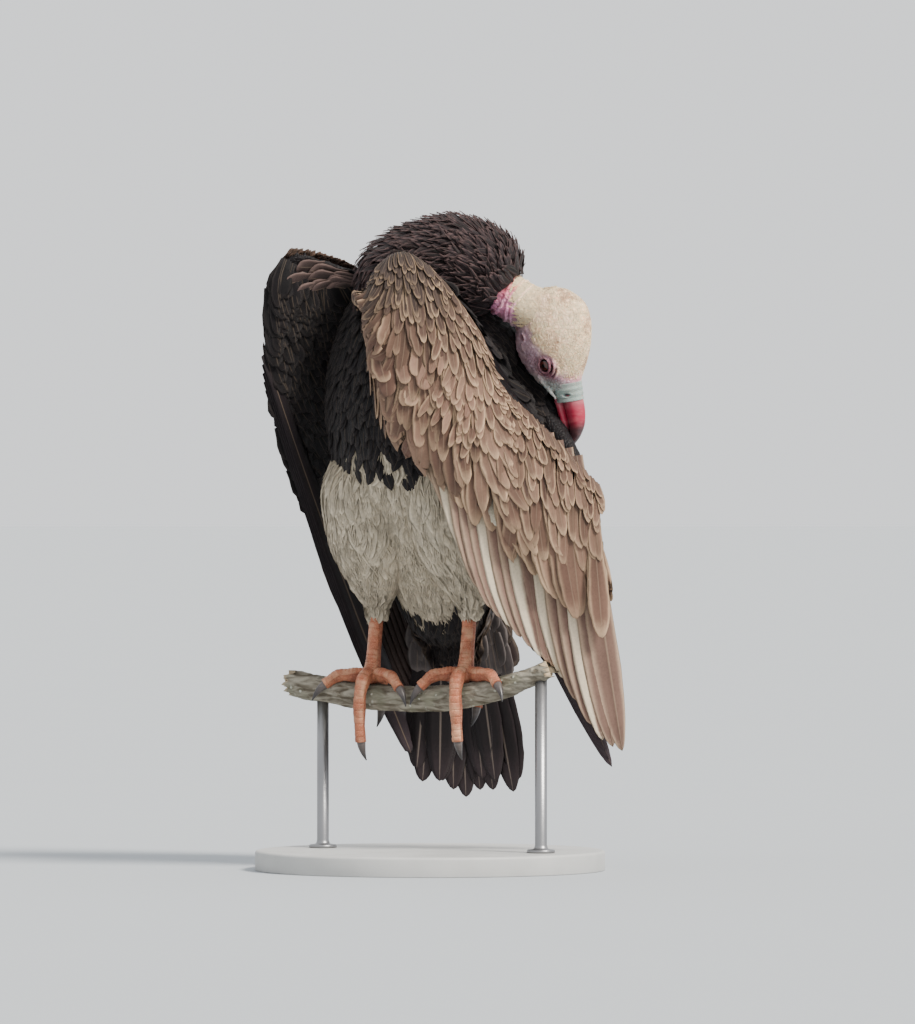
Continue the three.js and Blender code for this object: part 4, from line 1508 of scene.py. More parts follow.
@dataclass
class Head:
    """The peaked head with its down, bare face, eyes and bill."""

    sections: Stations = (
        (-37, 0, 10, 8), (-32, 0, 22, 18), (-18, -2, 38, 27), (0, -3, 42, 31), (20, -6, 41.5, 30),
        (38, -6.5, 35, 25), (53, -5.5, 26, 19), (64, -2.5, 19, 14.5),
    )
    eye_radius: float = 8.5
    down_depth: float = 2.0

    def tube(self, inset: float) -> Tube:
        """The head's form."""
        return head_tube(self.sections, inset)

    def ring(self, side: int, wide: float, tall: float, lift: float, radius: float,
             start: float = 0.0, stop: float = 1.0, shift: float = 0.0) -> Tube:
        """A fold of skin round an eye.

        Args:
            side: 1 for the right eye and -1 for the left.
            wide: Half its length along the bill.
            tall: Half its height towards the crown.
            lift: How far it stands off the middle of the eye.
            radius: The fold's own thickness.
            start: Where it starts, as a share of a full turn from the bill.
            stop: Where it ends.
            shift: How far it sits towards the crown.

        Returns:
            The fold.
        """
        along, crown, right = EYE
        t = np.linspace(start, stop, 25)
        turn = t * TURN
        x, y = wide * np.cos(turn), tall * np.sin(turn)
        depth = lift - (x**2 + y**2) * 0.012
        points = [in_head(along + a, crown + shift + b, side * (right + c)) for a, b, c in zip(x, y, depth)]
        return Tube.limb(points, [radius * (0.45 + 0.55 * math.sin(math.pi * i / 24) ** 0.5)
                                  if stop - start < 1 else radius for i in range(25)])

    def flesh(self) -> Forms:
        """The forms that make the bare head."""
        tubes = [(self.tube(self.down_depth), 120, 96)]
        for side in (1, -1):
            tubes.append((self.ring(side, 7.2, 5.5, 6.9, 1.8), 96, 14))
            tubes.append((self.ring(side, 11.0, 8.6, 5.8, 1.5, 0.02, 0.5, 1.5), 60, 12))
            tubes.append((self.ring(side, 10.5, 9.4, 5.0, 1.3, 0.52, 0.98, -1.0), 60, 12))
            tubes.append((self.ring(side, 15.5, 12.5, 3.4, 1.4, 0.05, 0.42, 0.0), 60, 12))
            ear = [in_head(6 + 5.0 * math.cos(a), -27 + 4.0 * math.sin(a), side * (23.6 + 2.6 * math.sin(a)))
                   for a in np.linspace(0, TURN, 17)]
            tubes.append((Tube.limb(ear, [1.3] * 17), 60, 10))
            gape = [in_head(along, crown, side * wide) for along, crown, wide in
                    ((46, -19, 18.5), (54, -16, 16.5), (64, -11, 13.3), (72, -7.5, 11.5))]
            tubes.append((Tube.limb(gape, [1.4, 2.0, 1.9, 1.2]), 30, 10))
        return tubes

    def socket(self, points: Array) -> Array:
        """Pushes the skin in behind each eye's opening."""
        along, crown, right = head_place(points)
        moved = points.copy()
        for side in (1, -1):
            x, y = along - EYE[0], crown - EYE[1]
            reach = np.sqrt((x / 6.2) ** 2 + (y / 4.7) ** 2)
            inside = ease(1.15, 0.75, reach) * (side * right > 8)
            floor = EYE[2] - 2.0
            push = np.maximum(side * right - floor, 0) * inside
            moved -= (side * push)[:, None] * HEAD_RIGHT
        return moved

    def ears(self, points: Array) -> Array:
        """How far each point lies in an ear's opening."""
        along, crown, right = head_place(points)
        return ease(4.6, 2.4, np.hypot(along - 6, (crown + 27) * 1.2)) * (np.abs(right) > 12)

    @staticmethod
    def downy(points: Array) -> Array:
        """How thickly the down grows at each place, from 0 to 1."""
        along, crown, right = head_place(points)
        border = -11 + 0.38 * np.maximum(along - 6, 0) + 2.5 * np.sin(along * 0.4)
        cap = ease(-8, 5, crown - border)
        nape = ease(2, -18, along)
        face = ease(60, 44, along)
        eyes = ease(9, 15, np.hypot(along - EYE[0], crown - EYE[1]))
        shoulder = ease(84, 96, points[:, 0] + 0.28 * (points[:, 2] - 555) + 3 * np.sin(points[:, 2] * 0.5))
        return (np.clip(np.maximum(cap, nape), 0, 1) * face * shoulder * np.where(np.abs(right) > 14, eyes, 1.0))

    def down(self, neck: Neck) -> list[Piece]:
        """The short down of the cap, which runs down onto the neck."""
        rng = np.random.default_rng(SEED + 3)
        surface = self.tube(self.down_depth + 0.3)
        plume = Plume(7.0, 1.9, 0.5, 0.5, root_width=0.6, widest=0.4, squareness=1.3, thickness=0.25, rings=4,
                      fray=0.1, section=Section.TUFT)
        bed = Bed.scattered(12500, rng, math.pi, 0.35, 0.2, u=(0.02, 0.97))
        spread = np.linalg.norm(spline(surface.wide, bed.u), axis=1) / 36
        roots = surface.point(bed.u, bed.v)
        bed = bed.only(rng.random(len(bed.u)) < spread * self.downy(roots))
        finish = DownFinish("head_down", mottle=0.06).make()
        coat, lower = Coat("coat_head_down"), Coat("coat_neck_down")
        coat.add(lay(surface, plume, bed, rng, HeadPaint()))
        surface = Tube.limb(neck.bare_line, [radius - 0.6 for radius in neck.bare_radii])
        bed = Bed.scattered(7000, rng, math.pi, 0.35, 0.2, u=(0.2, 1.0))
        bed = bed.only(rng.random(len(bed.u)) < self.downy(surface.point(bed.u, bed.v)))
        lower.add(lay(surface, plume, bed, rng, HeadPaint()))
        return [coat.build(finish, "head_down", "head"), lower.build(finish, "head_down", "neck")]

    def eyes(self) -> list[Piece]:
        """Both eyeballs, with an iris on their outer side."""
        made, finish = [], EyeFinish("eye_wet").make()
        for name, side in (("right", 1), ("left", -1)):
            centre, out = in_head(*EYE[:2], side * EYE[2]), side * HEAD_RIGHT
            rings, sides = 40, 64
            polar = np.linspace(0.02, math.pi - 0.02, rings + 1)
            turn = np.arange(sides) / sides * TURN
            cornea = 1 + 0.05 * ease(0.75, 0.1, polar)
            axis, away = np.cos(polar) * cornea, np.sin(polar) * cornea
            ring = CROWN * np.cos(turn)[:, None] + BILL_DIRECTION * np.sin(turn)[:, None]
            points = centre + self.eye_radius * (axis[:, None, None] * out + away[:, None, None] * ring[None])
            solid = solid_of(points, points * 0 + centre)
            mesh = mesh_from(f"eyeball_{name}", *solid)
            place = np.repeat(polar, sides)[solid[1]]
            add_map(mesh, "vane", np.stack([place * 0, place], axis=1))
            made.append(shown(mesh, finish, "eye", f"eye_{name}"))
        return made


@dataclass(frozen=True)
class HeadPaint(Paint):
    """Cream down, tinged with tan on the crown."""

    def colours(self, roots: Array, bed: Bed, rng: Chance) -> tuple[Array, Array]:
        """The two colours of each tuft."""
        along, crown, _ = head_place(roots)
        patch = bumpy(roots, 16.0, 3)
        tan = ease(-0.03, 0.28, patch) * ease(-10, 12, crown) * 0.95
        shade = blend(Feather.CREAM, (0.62, 0.3, 0.15), tan)
        tone = rng.normal(1, 0.08, (len(roots), 1))
        return shade * tone, blend(Feather.CREAM_EDGE, (0.8, 0.6, 0.42), tan) * tone


@dataclass
class Bill:
    """The hooked upper bill, the lower bill and the cere."""

    cere: Stations = ((58, 0.5, 16.2, 13.8), (68, 1, 15.5, 12.2), (76, 1.5, 14.6, 11))
    upper: Stations = (
        (70, 5, 10.8, 10), (74, 5, 10.5, 9.6), (88, 6, 9.5, 8.6), (101, 4.5, 8.2, 7), (111, 0.5, 6.6, 5),
        (119, -5, 4.4, 3.4), (125, -11, 1.2, 1.2),
    )
    lower: Stations = (
        (70, -9.5, 5.2, 8.4), (74, -9.5, 5, 8.2), (88, -8.5, 4.4, 7.2), (100, -7.5, 3.6, 5.6), (108, -6.5, 1.6, 2.6),
    )

    def build(self) -> list[Piece]:
        """Makes the three pieces."""
        cere = solid_piece("cere_skin", head_tube(self.cere), 60, 96)
        points = mesh_points(cere)
        along, crown, right = head_place(points)
        slit = ease(1.0, 0.35, np.hypot((along - 69.5) / 2.4, (crown - 5.0 - 0.35 * (along - 69.5)) / 4.6))
        fold = np.sin(along * 1.1) * 0.25
        points = points - unit(points - in_head(68, 1, 0)) * (slit * 2.6 - fold)[:, None]
        move_points(cere, points)
        tone = blend((0.3, 0.37, 0.34), (0.33, 0.37, 0.34), ease(66, 58, along) * 0.6)
        # painted shade: the nostril slit is darkened as a hollow that the light does not reach
        tone = blend(tone, (0.05, 0.05, 0.06), slit * 0.9)
        colour_mesh(cere, tone, tone * 1.25)
        made = [shown(cere, SkinFinish("cere_skin", 0.45, 0.1, 700.0, 0.00015).make(), "cere", "cere")]
        horn = HornFinish("bill_horn").make()
        for name, sections, node in (("bill_hook", self.upper, "bill_upper"),
                                     ("bill_under", self.lower, "bill_lower")):
            mesh = solid_piece(name, head_tube(sections), 120, 64)
            points = mesh_points(mesh)
            along, crown, right = head_place(points)
            if node == "bill_upper":
                tooth = 0.5 * np.sin((along - 80) * 0.22) * ease(0, -6, crown - 5)
                points = points - tooth[:, None] * CROWN
                ridge = ease(4, 9, crown - 4) * ease(3, 0, np.abs(right)) * 0.6
                points = points + ridge[:, None] * CROWN
                move_points(mesh, points)
            red = blend((0.36, 0.014, 0.045), (0.36, 0.1, 0.12), ease(88, 74, along) * 0.8)
            tip = ease(93, 107, along) * 0.95
            shade = blend(red, (0.035, 0.02, 0.022), tip)
            colour_mesh(mesh, shade, blend(shade, (0.62, 0.2, 0.2), 0.55 * (1 - 0.8 * tip)))
            made.append(shown(mesh, horn, "bill", node))
        return made


@dataclass
class LeftWing:
    """The half-open wing that hangs in front of the body, upper side out."""

    top: Line = (
        (-58, -138, 574), (-45, -148, 606), (-22, -148, 616), (14, -142, 592), (50, -130, 541), (67, -122, 494),
        (112, -116, 450), (169, -106, 389),
    )
    edge: Line = (
        (-62, -136, 556), (-54, -134, 500), (-36, -126, 436), (-2, -122, 402), (32, -116, 370), (72, -108, 330),
        (112, -100, 300), (174, -88, 284),
    )
    thick: tuple[float, ...] = (14, 26, 30, 28, 26, 26, 26, 16)
    bow: float = 9.0
    shoulder_front: Line = ((-34, -138, 600), (12, -134, 584), (50, -122, 534), (69, -114, 488), (112, -108, 442))
    shoulder_back: Line = ((-20, -82, 590), (20, -70, 560), (58, -66, 524), (90, -76, 478), (128, -90, 434))
    upper_arm: Line = ((20, -36, 545), (56, -34, 524), (98, -34, 472), (146, -88, 408))
    covert_tips: Line = ((14, -121, 384), (54, -113, 344), (96, -105, 304), (140, -96, 262), (172, -89, 240))
    striped: tuple[int, ...] = (4, 8, 11, 14, 17)
    out: Place = (0.1, -0.97, 0.1)
    secondary_tips: tuple[tuple[float, float], ...] = (
        (-2, 400), (19, 366), (53, 276), (80, 244), (110, 215), (131, 196), (168, 136), (196, 118),
    )

    def face(self, side: int, inset: float = 0.0) -> Blade:
        """The covert-bearing blade's outer or inner face."""
        return Blade(self.top, self.edge, [thick - 2 * inset for thick in self.thick], self.bow, side)

    def flesh(self) -> Forms:
        """The forms under the feathers."""
        arm = Tube.limb(self.upper_arm, [28, 29, 20, 7])
        return [(arm, 40, 32), (solid_blade(self.face(1, 6.0)), 60, 40),
                (solid_blade(Blade(self.shoulder_front, self.shoulder_back, [4, 9, 7, 4, 2], 6, 1)), 40, 30)]

    def coverts(self) -> Piece:
        """The rows of coverts on the upper side, from the soft marginal ones to the greater ones."""
        rng = np.random.default_rng(SEED + 4)
        surface, coat = self.face(1, 1.5), Coat("coverts_left")
        rows = [
            (29, 0.50, 122, 21, 12, 1.0), (31, 0.41, 98, 17.5, 11, 1.0), (30, 0.335, 80, 15.5, 10, 1.0),
            (33, 0.27, 66, 13.5, 9, 1.0), (36, 0.21, 54, 12, 9, 0.95), (40, 0.155, 44, 10.5, 8, 0.9),
            (46, 0.11, 36, 9, 8, 0.85), (52, 0.07, 30, 8, 7, 0.8), (58, 0.035, 25, 7, 7, 0.75),
            (62, 0.005, 20, 6.5, 7, 0.7),
        ]
        for count, v, length, width, rings, dark in rows:
            bed = Bed.row(count, rng, v, 0.0, u=(0.035, 1.0), swing=0.1)
            bed.v = rng.normal(bed.v, 0.3 * (0.012 + 0.1 * v * (1 - v)), count)
            bed.v = np.maximum(bed.v, 0.012 + 0.03 * ease(0.3, 0.5, bed.u))
            bed.length = bed.length * rng.normal(1, 0.14 - 0.18 * v, count)
            bed.roll = rng.normal(bed.roll, 0.12, count)
            slant = (0.34 - 0.5 * v - 0.14 * (1 - bed.u)) * (1 - ease(0.6, 1, bed.u)) - 0.08 * bed.u**4
            aim = np.stack([slant, 0 * slant, -np.ones(count)], axis=1)
            plume = Plume(length, width, 4.5, 1, widest=0.62, squareness=1.75, rings=rings, root_width=0.5,
                          camber=0.2, fray=0.07)
            short = bed.only(bed.u < 0.5) if v >= 0.5 else bed
            aim = aim[bed.u < 0.5] if v >= 0.5 else aim
            coat.add(lay(surface, plume, short.towards(surface, aim), rng, WornAndSunlit(dark), True))
        coat.add(self.greater(surface, rng))
        ruffled = (
            (30, (0.44, 0.62, 0.22, 0.5), Plume(40, 10, 7, 1, widest=0.6, squareness=1.9, rings=9, fray=0.07), -0.35),
            (26, (0.12, 0.42, 0.25, 0.8), Plume(48, 18, 6, 1, widest=0.66, squareness=2.2, rings=10, fray=0.06),
             -0.06),
            (16, (0.0, 0.12, 0.1, 0.8), Plume(34, 13, 4, 1, widest=0.62, squareness=2.0, rings=9, fray=0.06), -0.02),
        )
        for count, box, plume, slant in ruffled:
            loose = Bed.scattered(count, rng, 0.0, 0.2, 0.12, u=box[:2], v=box[2:])
            loose.roll = rng.normal(0.2, 0.2, count)
            aim = np.array([slant, 0.0, -1.0])
            coat.add(lay(surface, replace(plume, root_width=0.5), loose.towards(surface, aim), rng,
                         WornAndSunlit(1.3), True))
        coat.share_map(4)
        finish = FeatherFinish("covert_vanes", edge=(0.5, 1.1), tip=(0.8, 1.05), root_dark=0.22, shaft_share=0.25)
        return coat.build(finish.make(), "brown_feathers", "wing_left_coverts")

    def greater(self, surface: Surface, rng: Chance) -> Feathers:
        """The greater coverts of the outer half, which lie straight along the secondaries."""
        count = 17
        bed = Bed.row(count, rng, 0.44, 0.0, u=(0.46, 1.0))
        share = (bed.u - 0.46) / 0.54
        tips = spline(self.covert_tips, np.clip(share, 0, 1))
        tips = tips + rng.standard_normal((count, 3)) * (3.0, 0.5, 5.0)
        shade, fringe = WornAndSunlit(0.95).colours(tips, bed, rng)
        plume = Plume(122, 22, widest=0.68, squareness=1.9, root_width=0.5, camber=0.14, rings=14, fray=0.04)
        return quill_batch(plume, surface.point(bed.u, bed.v), tips, (0, -4.0, 0), self.out, 0.16, 22.0, shade,
                           fringe, rng)

    def quills(self) -> list[Piece]:
        """The secondaries and the primaries tucked beneath them."""
        rng = np.random.default_rng(SEED + 5)
        count = 20
        t = middles(count)
        roots = spline([(-40, -128, 560), (20, -124, 520), (86, -112, 460), (150, -100, 410)], t)
        flat = spline(self.secondary_tips, t)
        tips = np.stack([flat[:, 0], -116 + 70 * t, flat[:, 1]], axis=1)
        plume = Plume(200, 30, widest=0.7, squareness=1.7, root_width=0.5, camber=0.1, thickness=0.9, rings=20,
                      fray=0.015, section=Section.FINE, outer=0.85)
        tone = rng.normal(1, 0.12, (count, 1))
        whole = quill_batch(plume, roots, tips, (0, -6.0, 0), self.out, 0.2, 30.0,
                            np.array(Feather.TAWNY) * tone, Feather.TAWNY_EDGE, rng)
        striped = np.isin(np.arange(count), self.striped)
        pale = replace(whole, fringe=np.broadcast_to(Feather.PALE_WEB, (count, 3)))
        made = []
        for name, batch, edge in (("secondaries_left", whole.only(~striped), (0.55, 1.1)),
                                  ("pale_secondaries_left", pale.only(striped), (0.3, 0.62))):
            finish = FeatherFinish(name + "_vanes", edge=edge, tip=(0.95, 1.06), shaft_share=0.4,
                                   one_web=name.startswith("pale"), root_dark=0.25)
            made.append(Coat(name, [batch]).build(finish.make(), "brown_feathers", "wing_left_secondaries"))
        row = Quills("primaries_left", 10, ((-40, -118, 560), (0, -108, 515), (40, -98, 470)),
                     ((183, -30, 100), (170, -38, 130), (140, -52, 180), (100, -66, 225)), (6.0, 4.0, 0), self.out,
                     0.15, 28.0, (0.02, 0.014, 0.016), 3)
        finish = FeatherFinish("primary_vanes", 0.5, edge=(0.8, 1.1))
        made.append(row.build(replace(plume, width=30.0, thickness=1.0), rng, finish, "dark_feathers",
                              "wing_left_primaries"))
        return made

    def lining(self) -> Piece:
        """The dark feathers of the shoulder, the upper arm and the wing's underside."""
        rng = np.random.default_rng(SEED + 6)
        coat = Coat("lining_left")
        dark = Plain(Feather.SOOT, Feather.SOOT_EDGE, 0.2)
        under = self.face(-1, 1.5)
        plume = Plume(36, 18, 5, 1.5)
        lie = math.radians(76)
        batches = [lay(under, plume, Bed.scattered(330, rng, lie, 0.15, u=(0.02, 0.86), v=(0.03, 0.6)),
                       rng, dark)]
        arm = Tube.limb(self.upper_arm, [31, 32, 23, 11])
        bed = Bed.scattered(800, rng, 0.0, 0.2, u=(0, 0.84)).dwindling(0.5, 0.94, 0.62, 0.4)
        batches.append(lay(arm, Plume(34, 13, 3, 1.5), bed, rng, dark))
        for side in (1, -1):
            front = Blade(self.shoulder_front, self.shoulder_back, [8, 14, 14, 12, 8], 6, side)
            bed = Bed.scattered(420, rng, 0.25, 0.2, u=(0, 0.97)).dwindling(0.55, 0.97, 0.6, 0.35)
            batches.append(lay(front, Plume(30, 15, 2.5, 1.5), bed, rng, dark))
        for batch in batches:
            coat.add(self.clear_of_head(batch))
        coat.share_map(2)
        return coat.build(FeatherFinish("lining_vanes", edge=(0.6, 1.0), shaft_share=0.15).make(),
                          "dark_feathers", "wing_left_shoulder", "wing_left_upper_arm")

    @staticmethod
    def clear_of_head(batch: Feathers) -> Feathers:
        """Leaves out the feathers that would pierce the head or the bill, or lie over them."""
        along, crown, right = head_place(batch.points)
        shape = np.array([(-37, 0, 22, 18), (0, -3, 42, 31), (38, -6.5, 35, 25), (64, -2.5, 20, 15),
                          (76, 0, 15.5, 11), (101, 0, 12, 7), (122, -3, 9, 4)])
        lift, tall, wide = (np.interp(along, shape[:, 0], shape[:, i]) for i in (1, 2, 3))
        within = (along > -37) & (along < 122) & (np.abs(crown - lift) < tall)
        pierced = np.hypot((crown - lift) / tall, right / wide) < 1
        keep = ~np.any(within & (pierced | (right > 0)), axis=(1, 2))
        return batch.only(keep)


@dataclass
class RightWing:
    """The folded wing on the far side, its dark lining to the front."""

    leading: Line = ((-142, -58, 618), (-166, -50, 572), (-163, -6, 470), (-136, 44, 375))
    back: Line = ((-52, -14, 588), (-46, 40, 566), (-60, 116, 462), (-42, 142, 372))
    thick: tuple[float, ...] = (18, 30, 26, 14)
    bow: float = 8.0

    def face(self, side: int, inset: float = 0.0) -> Blade:
        """The outer or inner face of the part that bears the coverts."""
        return Blade(self.leading, self.back, [thick - 2 * inset for thick in self.thick], self.bow, side)

    def flesh(self) -> Forms:
        """The form under the feathers."""
        return [(solid_blade(self.face(1, 6.0)), 60, 40)]

    def build(self) -> list[Piece]:
        """Makes the coverts of both sides and the quills."""
        rng = np.random.default_rng(SEED + 7)
        outer, inner = Coat("coverts_right"), Coat("lining_right")
        brown = Plain((0.12, 0.07, 0.052), (0.42, 0.29, 0.2), 0.2)
        dark = Plain(Feather.SOOT, Feather.SOOT_EDGE, 0.2)
        surface = self.face(1, 1.5)
        lie = math.radians(20)
        for u, count, length, width in (
            (0.8, 16, 112, 33), (0.64, 18, 92, 29), (0.5, 20, 76, 25), (0.38, 22, 64, 22), (0.28, 24, 54, 19.5),
            (0.19, 26, 46, 17.5), (0.11, 28, 38, 15.5), (0.04, 30, 31, 14), (0.0, 30, 25, 12),
        ):
            row = Bed.row(count, rng, 0.5, lie, u=(0.02, 0.98), swing=0.12)
            row.u, row.v = row.v - 0.5 + u, row.u
            row.u = np.clip(rng.normal(row.u, 0.012, count), 0, 1)
            row.length = row.length * rng.normal(1, 0.1, count)
            plume = Plume(length, width, 3.5, 1, widest=0.64, squareness=2.0, rings=10, root_width=0.5, camber=0.12,
                          fray=0.05)
            outer.add(lay(surface, plume, row, rng, brown, True))
        outer.share_map(3)
        bed = Bed.scattered(620, rng, 0.25, 0.15, u=(0.05, 0.98), v=(0.02, 0.98))
        inner.add(lay(self.face(-1, 1.5), Plume(44, 20, 5, 1.5), bed, rng, dark))
        return [
            outer.build(FeatherFinish("far_covert_vanes", edge=(0.6, 1.15), tip=(0.85, 1.06), root_dark=0.2).make(),
                        "brown_feathers", "wing_right_coverts"),
            inner.build(FeatherFinish("far_lining_vanes", edge=(0.6, 1.0), shaft_share=0.15).make(),
                        "dark_feathers", "wing_right_coverts"),
            self.rim(rng),
            *self.quills(rng),
        ]

    def rim(self, rng: Chance) -> Piece:
        """The brown feathers that curl over the wing's upper edge."""
        coat, under = Coat("rim_right"), self.face(-1, 1.0)
        plume = Plume(44, 22, 1.6, 1, widest=0.66, squareness=2.6, rings=9, root_width=0.6, camber=0.06, fray=0.05)
        for v, count, top, bottom, size in ((0.42, 3, 0.06, 0.16, 0.8), (0.64, 4, 0.04, 0.19, 0.9),
                                            (0.9, 5, 0.02, 0.2, 1.0)):
            bed = Bed.row(count, rng, v, 0.0, u=(top, bottom), roll=0.22, swing=0.07)
            bed.v = rng.normal(bed.v, 0.03, count)
            bed.length = bed.length * size * rng.normal(1, 0.08, count)
            coat.add(lay(under, plume, bed.towards(under, np.array([-1.0, -0.25, -0.12])), rng,
                         Plain((0.085, 0.055, 0.05), (0.19, 0.125, 0.11), 0.25), True))
        coat.share_map(2)
        finish = FeatherFinish("rim_vanes", edge=(0.45, 1.0), tip=(0.75, 1.0), root_dark=0.3)
        return coat.build(finish.make(), "brown_feathers")

    def quills(self, rng: Chance) -> list[Piece]:
        """The folded secondaries and primaries."""
        plume = Plume(200, 38, widest=0.75, squareness=2.8, root_width=0.5, camber=0.1, thickness=0.9, rings=20,
                      fray=0.015, section=Section.FINE, outer=0.85)
        out = unit(np.array([-0.62, 0.76, 0.16]))
        second = Quills("secondaries_right", 18, ((-150, 0, 480), (-130, 44, 476), (-100, 84, 472), (-60, 110, 470)),
                        ((-86, 100, 262), (-50, 126, 205), (-20, 150, 170), (-2, 162, 190), (2, 166, 240)), out * 6,
                        out, 0.16, 38.0, (0.028, 0.018, 0.016), 3.2)
        first = Quills("primaries_right", 10, ((-165, -30, 520), (-160, -8, 478), (-140, 20, 440)),
                       ((-18, 154, 108), (-34, 142, 140), (-52, 126, 185), (-70, 110, 230)), out * 8, out, 0.14, 30.0,
                       (0.018, 0.013, 0.015), 3)
        return [
            second.build(plume, rng, FeatherFinish("far_secondary_vanes", edge=(0.8, 1.05)), "brown_feathers",
                         "wing_right_secondaries"),
            first.build(replace(plume, width=30.0, thickness=1.0), rng,
                        FeatherFinish("far_primary_vanes", 0.5, edge=(0.8, 1.1)), "dark_feathers",
                        "wing_right_primaries"),
        ]


def solid_blade(face: Blade) -> Tube:
    """A blade's whole body as a tube, for the skin."""
    middle = (face.leading + face.trailing) / 2 + face.out * face.bow * 0.6
    return Tube(middle, (face.trailing - face.leading) / 2 * 0.93, face.out * np.maximum(face.half, 1.5))


def quill_batch(plume: Plume, roots: Array, tips: Array, sag: Place, out: Place, roll: float | Array,
                width: float, shade: Array, fringe: Array, rng: Chance) -> Feathers:
    """Long flight feathers between given roots and tips.

    Args:
        plume: Their form; its length is not used.
        roots: Where each shaft starts.
        tips: Where each ends.
        sag: How far the middle of each stands off the straight line.
        out: The outer side's direction.
        roll: How far each turns about its shaft.
        width: Their width.
        shade: Their colour, or a row of them.
        fringe: The colour of their edges, or a row of them.
        rng: The source of chance.

    Returns:
        The feathers.
    """
    count, s = len(roots), ring_shares(plume.rings)[None, :, None]
    spine = roots[:, None] * (1 - s) + tips[:, None] * s + np.asarray(sag) * (4 * s * (1 - s))
    normal = np.broadcast_to(out, spine.shape)
    points, vane = vanes(plume, spine, normal, np.full(count, width), roll + np.zeros(count), rng)
    tall = float(np.linalg.norm(tips - roots, axis=1).mean() / plume.width)
    shade, fringe = (np.broadcast_to(colour, (count, 3)) for colour in (shade, fringe))
    return Feathers(points, vane, shade, fringe, cell_patches(vane, tall))


@dataclass(frozen=True)
class Quills:
    """A row of dark flight feathers from one curve to another."""

    name: str
    count: int
    roots: Line
    tips: Line
    sag: Place
    out: Place
    roll: float
    width: float
    tone: Colour
    edge: float

    def build(self, plume: Plume, rng: Chance, finish: FeatherFinish, slot: str, node: str) -> Piece:
        """Makes the row.

        Args:
            plume: The feathers' form.
            rng: The source of chance.
            finish: Their finish.
            slot: The record's material slot; not used.
            node: The frame's node that they stand for.

        Returns:
            The piece.
        """
        t, tone, coat = middles(self.count), np.array(self.tone), Coat(self.name)
        coat.add(quill_batch(plume, spline(self.roots, t), spline(self.tips, t), self.sag, self.out, self.roll,
                             self.width, tone, tone * self.edge, rng))
        return coat.build(finish.make(), slot, node)


@dataclass
class Tail:
    """Twelve tail feathers with the coverts above and below them."""

    root: tuple[float, float, float] = (22, 84, 312)
    direction: tuple[float, float, float] = (16, 62, -222)
    length: float = 248.0
    count: int = 12
    half_width: float = 56.0

    def axes(self) -> tuple[Array, Array, Array]:
        """The tail's length, its breadth to the bird's left and its upper side."""
        along = unit(np.array(self.direction))
        across = unit(np.array([1.0, -0.35, 0.0]))
        across = unit(across - np.dot(across, along) * along)
        upper = np.cross(across, along)
        return along, across, upper if upper[1] > 0 else -upper

    def build(self) -> list[Piece]:
        """Makes the tail feathers and the coverts."""
        rng = np.random.default_rng(SEED + 8)
        along, across, upper = self.axes()
        place = np.linspace(-1, 1, self.count)
        height = 4.0 * (1 - np.abs(place)) + 1.0
        roots = np.array(self.root) + np.outer(place * 20, across) + np.outer(height, upper)
        reach = self.length * (1 - 0.05 * np.abs(place) + rng.normal(0, 0.035, self.count))
        place = rng.normal(place, 0.05, self.count)
        tips = np.array(self.root) + along * reach[:, None] + np.outer(place * self.half_width, across) \
            + np.outer(height - 3, upper)
        plume = Plume(248, 34, widest=0.76, squareness=1.75, root_width=0.35, camber=0.1, thickness=1.0, rings=22,
                      fray=0.03, section=Section.FINE)
        shade = np.array((0.013, 0.009, 0.01))
        quills = quill_batch(plume, roots, tips, upper * 3, upper, place * -0.2, 32.0, shade, shade * 3.5, rng)
        finish = FeatherFinish("tail_vanes", 0.5, edge=(0.8, 1.1), shaft=(0.3, 0.24, 0.2), shaft_share=0.4)
        made = [Coat("tail_quills", [quills]).build(finish.make(), "dark_feathers", "tail")]
        coat = Coat("tail_coverts")
        for side, paint in ((1, Plain(Feather.BLACK_BROWN, (0.12, 0.09, 0.07))),
                            (-1, Plain(Feather.SLATE, Feather.SLATE_EDGE, 0.2))):
            count = 110
            row = np.floor(np.arange(count) / 11)
            x = ((np.arange(count) % 11) + 0.5 * (row % 2)) / 5 - 1
            start = np.array(self.root) + np.outer(row * 13 - 46, along) \
                + np.outer(x * (24 + row * 2.0), across) + np.outer(side * (10.5 - row * 0.3 + 2 * (1 - x**2)), upper)
            end = start + along * rng.normal(48, 6, (count, 1)) \
                + np.outer(x * 6, across) + np.outer(np.full(count, side * 1.0), upper)
            tone = rng.normal(1, 0.12, (count, 1))
            batch = quill_batch(Plume(48, 20, rings=8), start, end, upper * side * 1.5, upper * side,
                                rng.normal(0, 0.1, count), 20.0, np.array(paint.shade) * tone,
                                np.array(paint.fringe) * tone, rng)
            batch.bake[..., 0] = (batch.bake[..., 0] + (side > 0)) / 2
            coat.add(batch)
        made.append(coat.build(FeatherFinish("tail_covert_vanes", edge=(0.6, 1.0), shaft_share=0.15).make(),
                               "dark_feathers"))
        return made


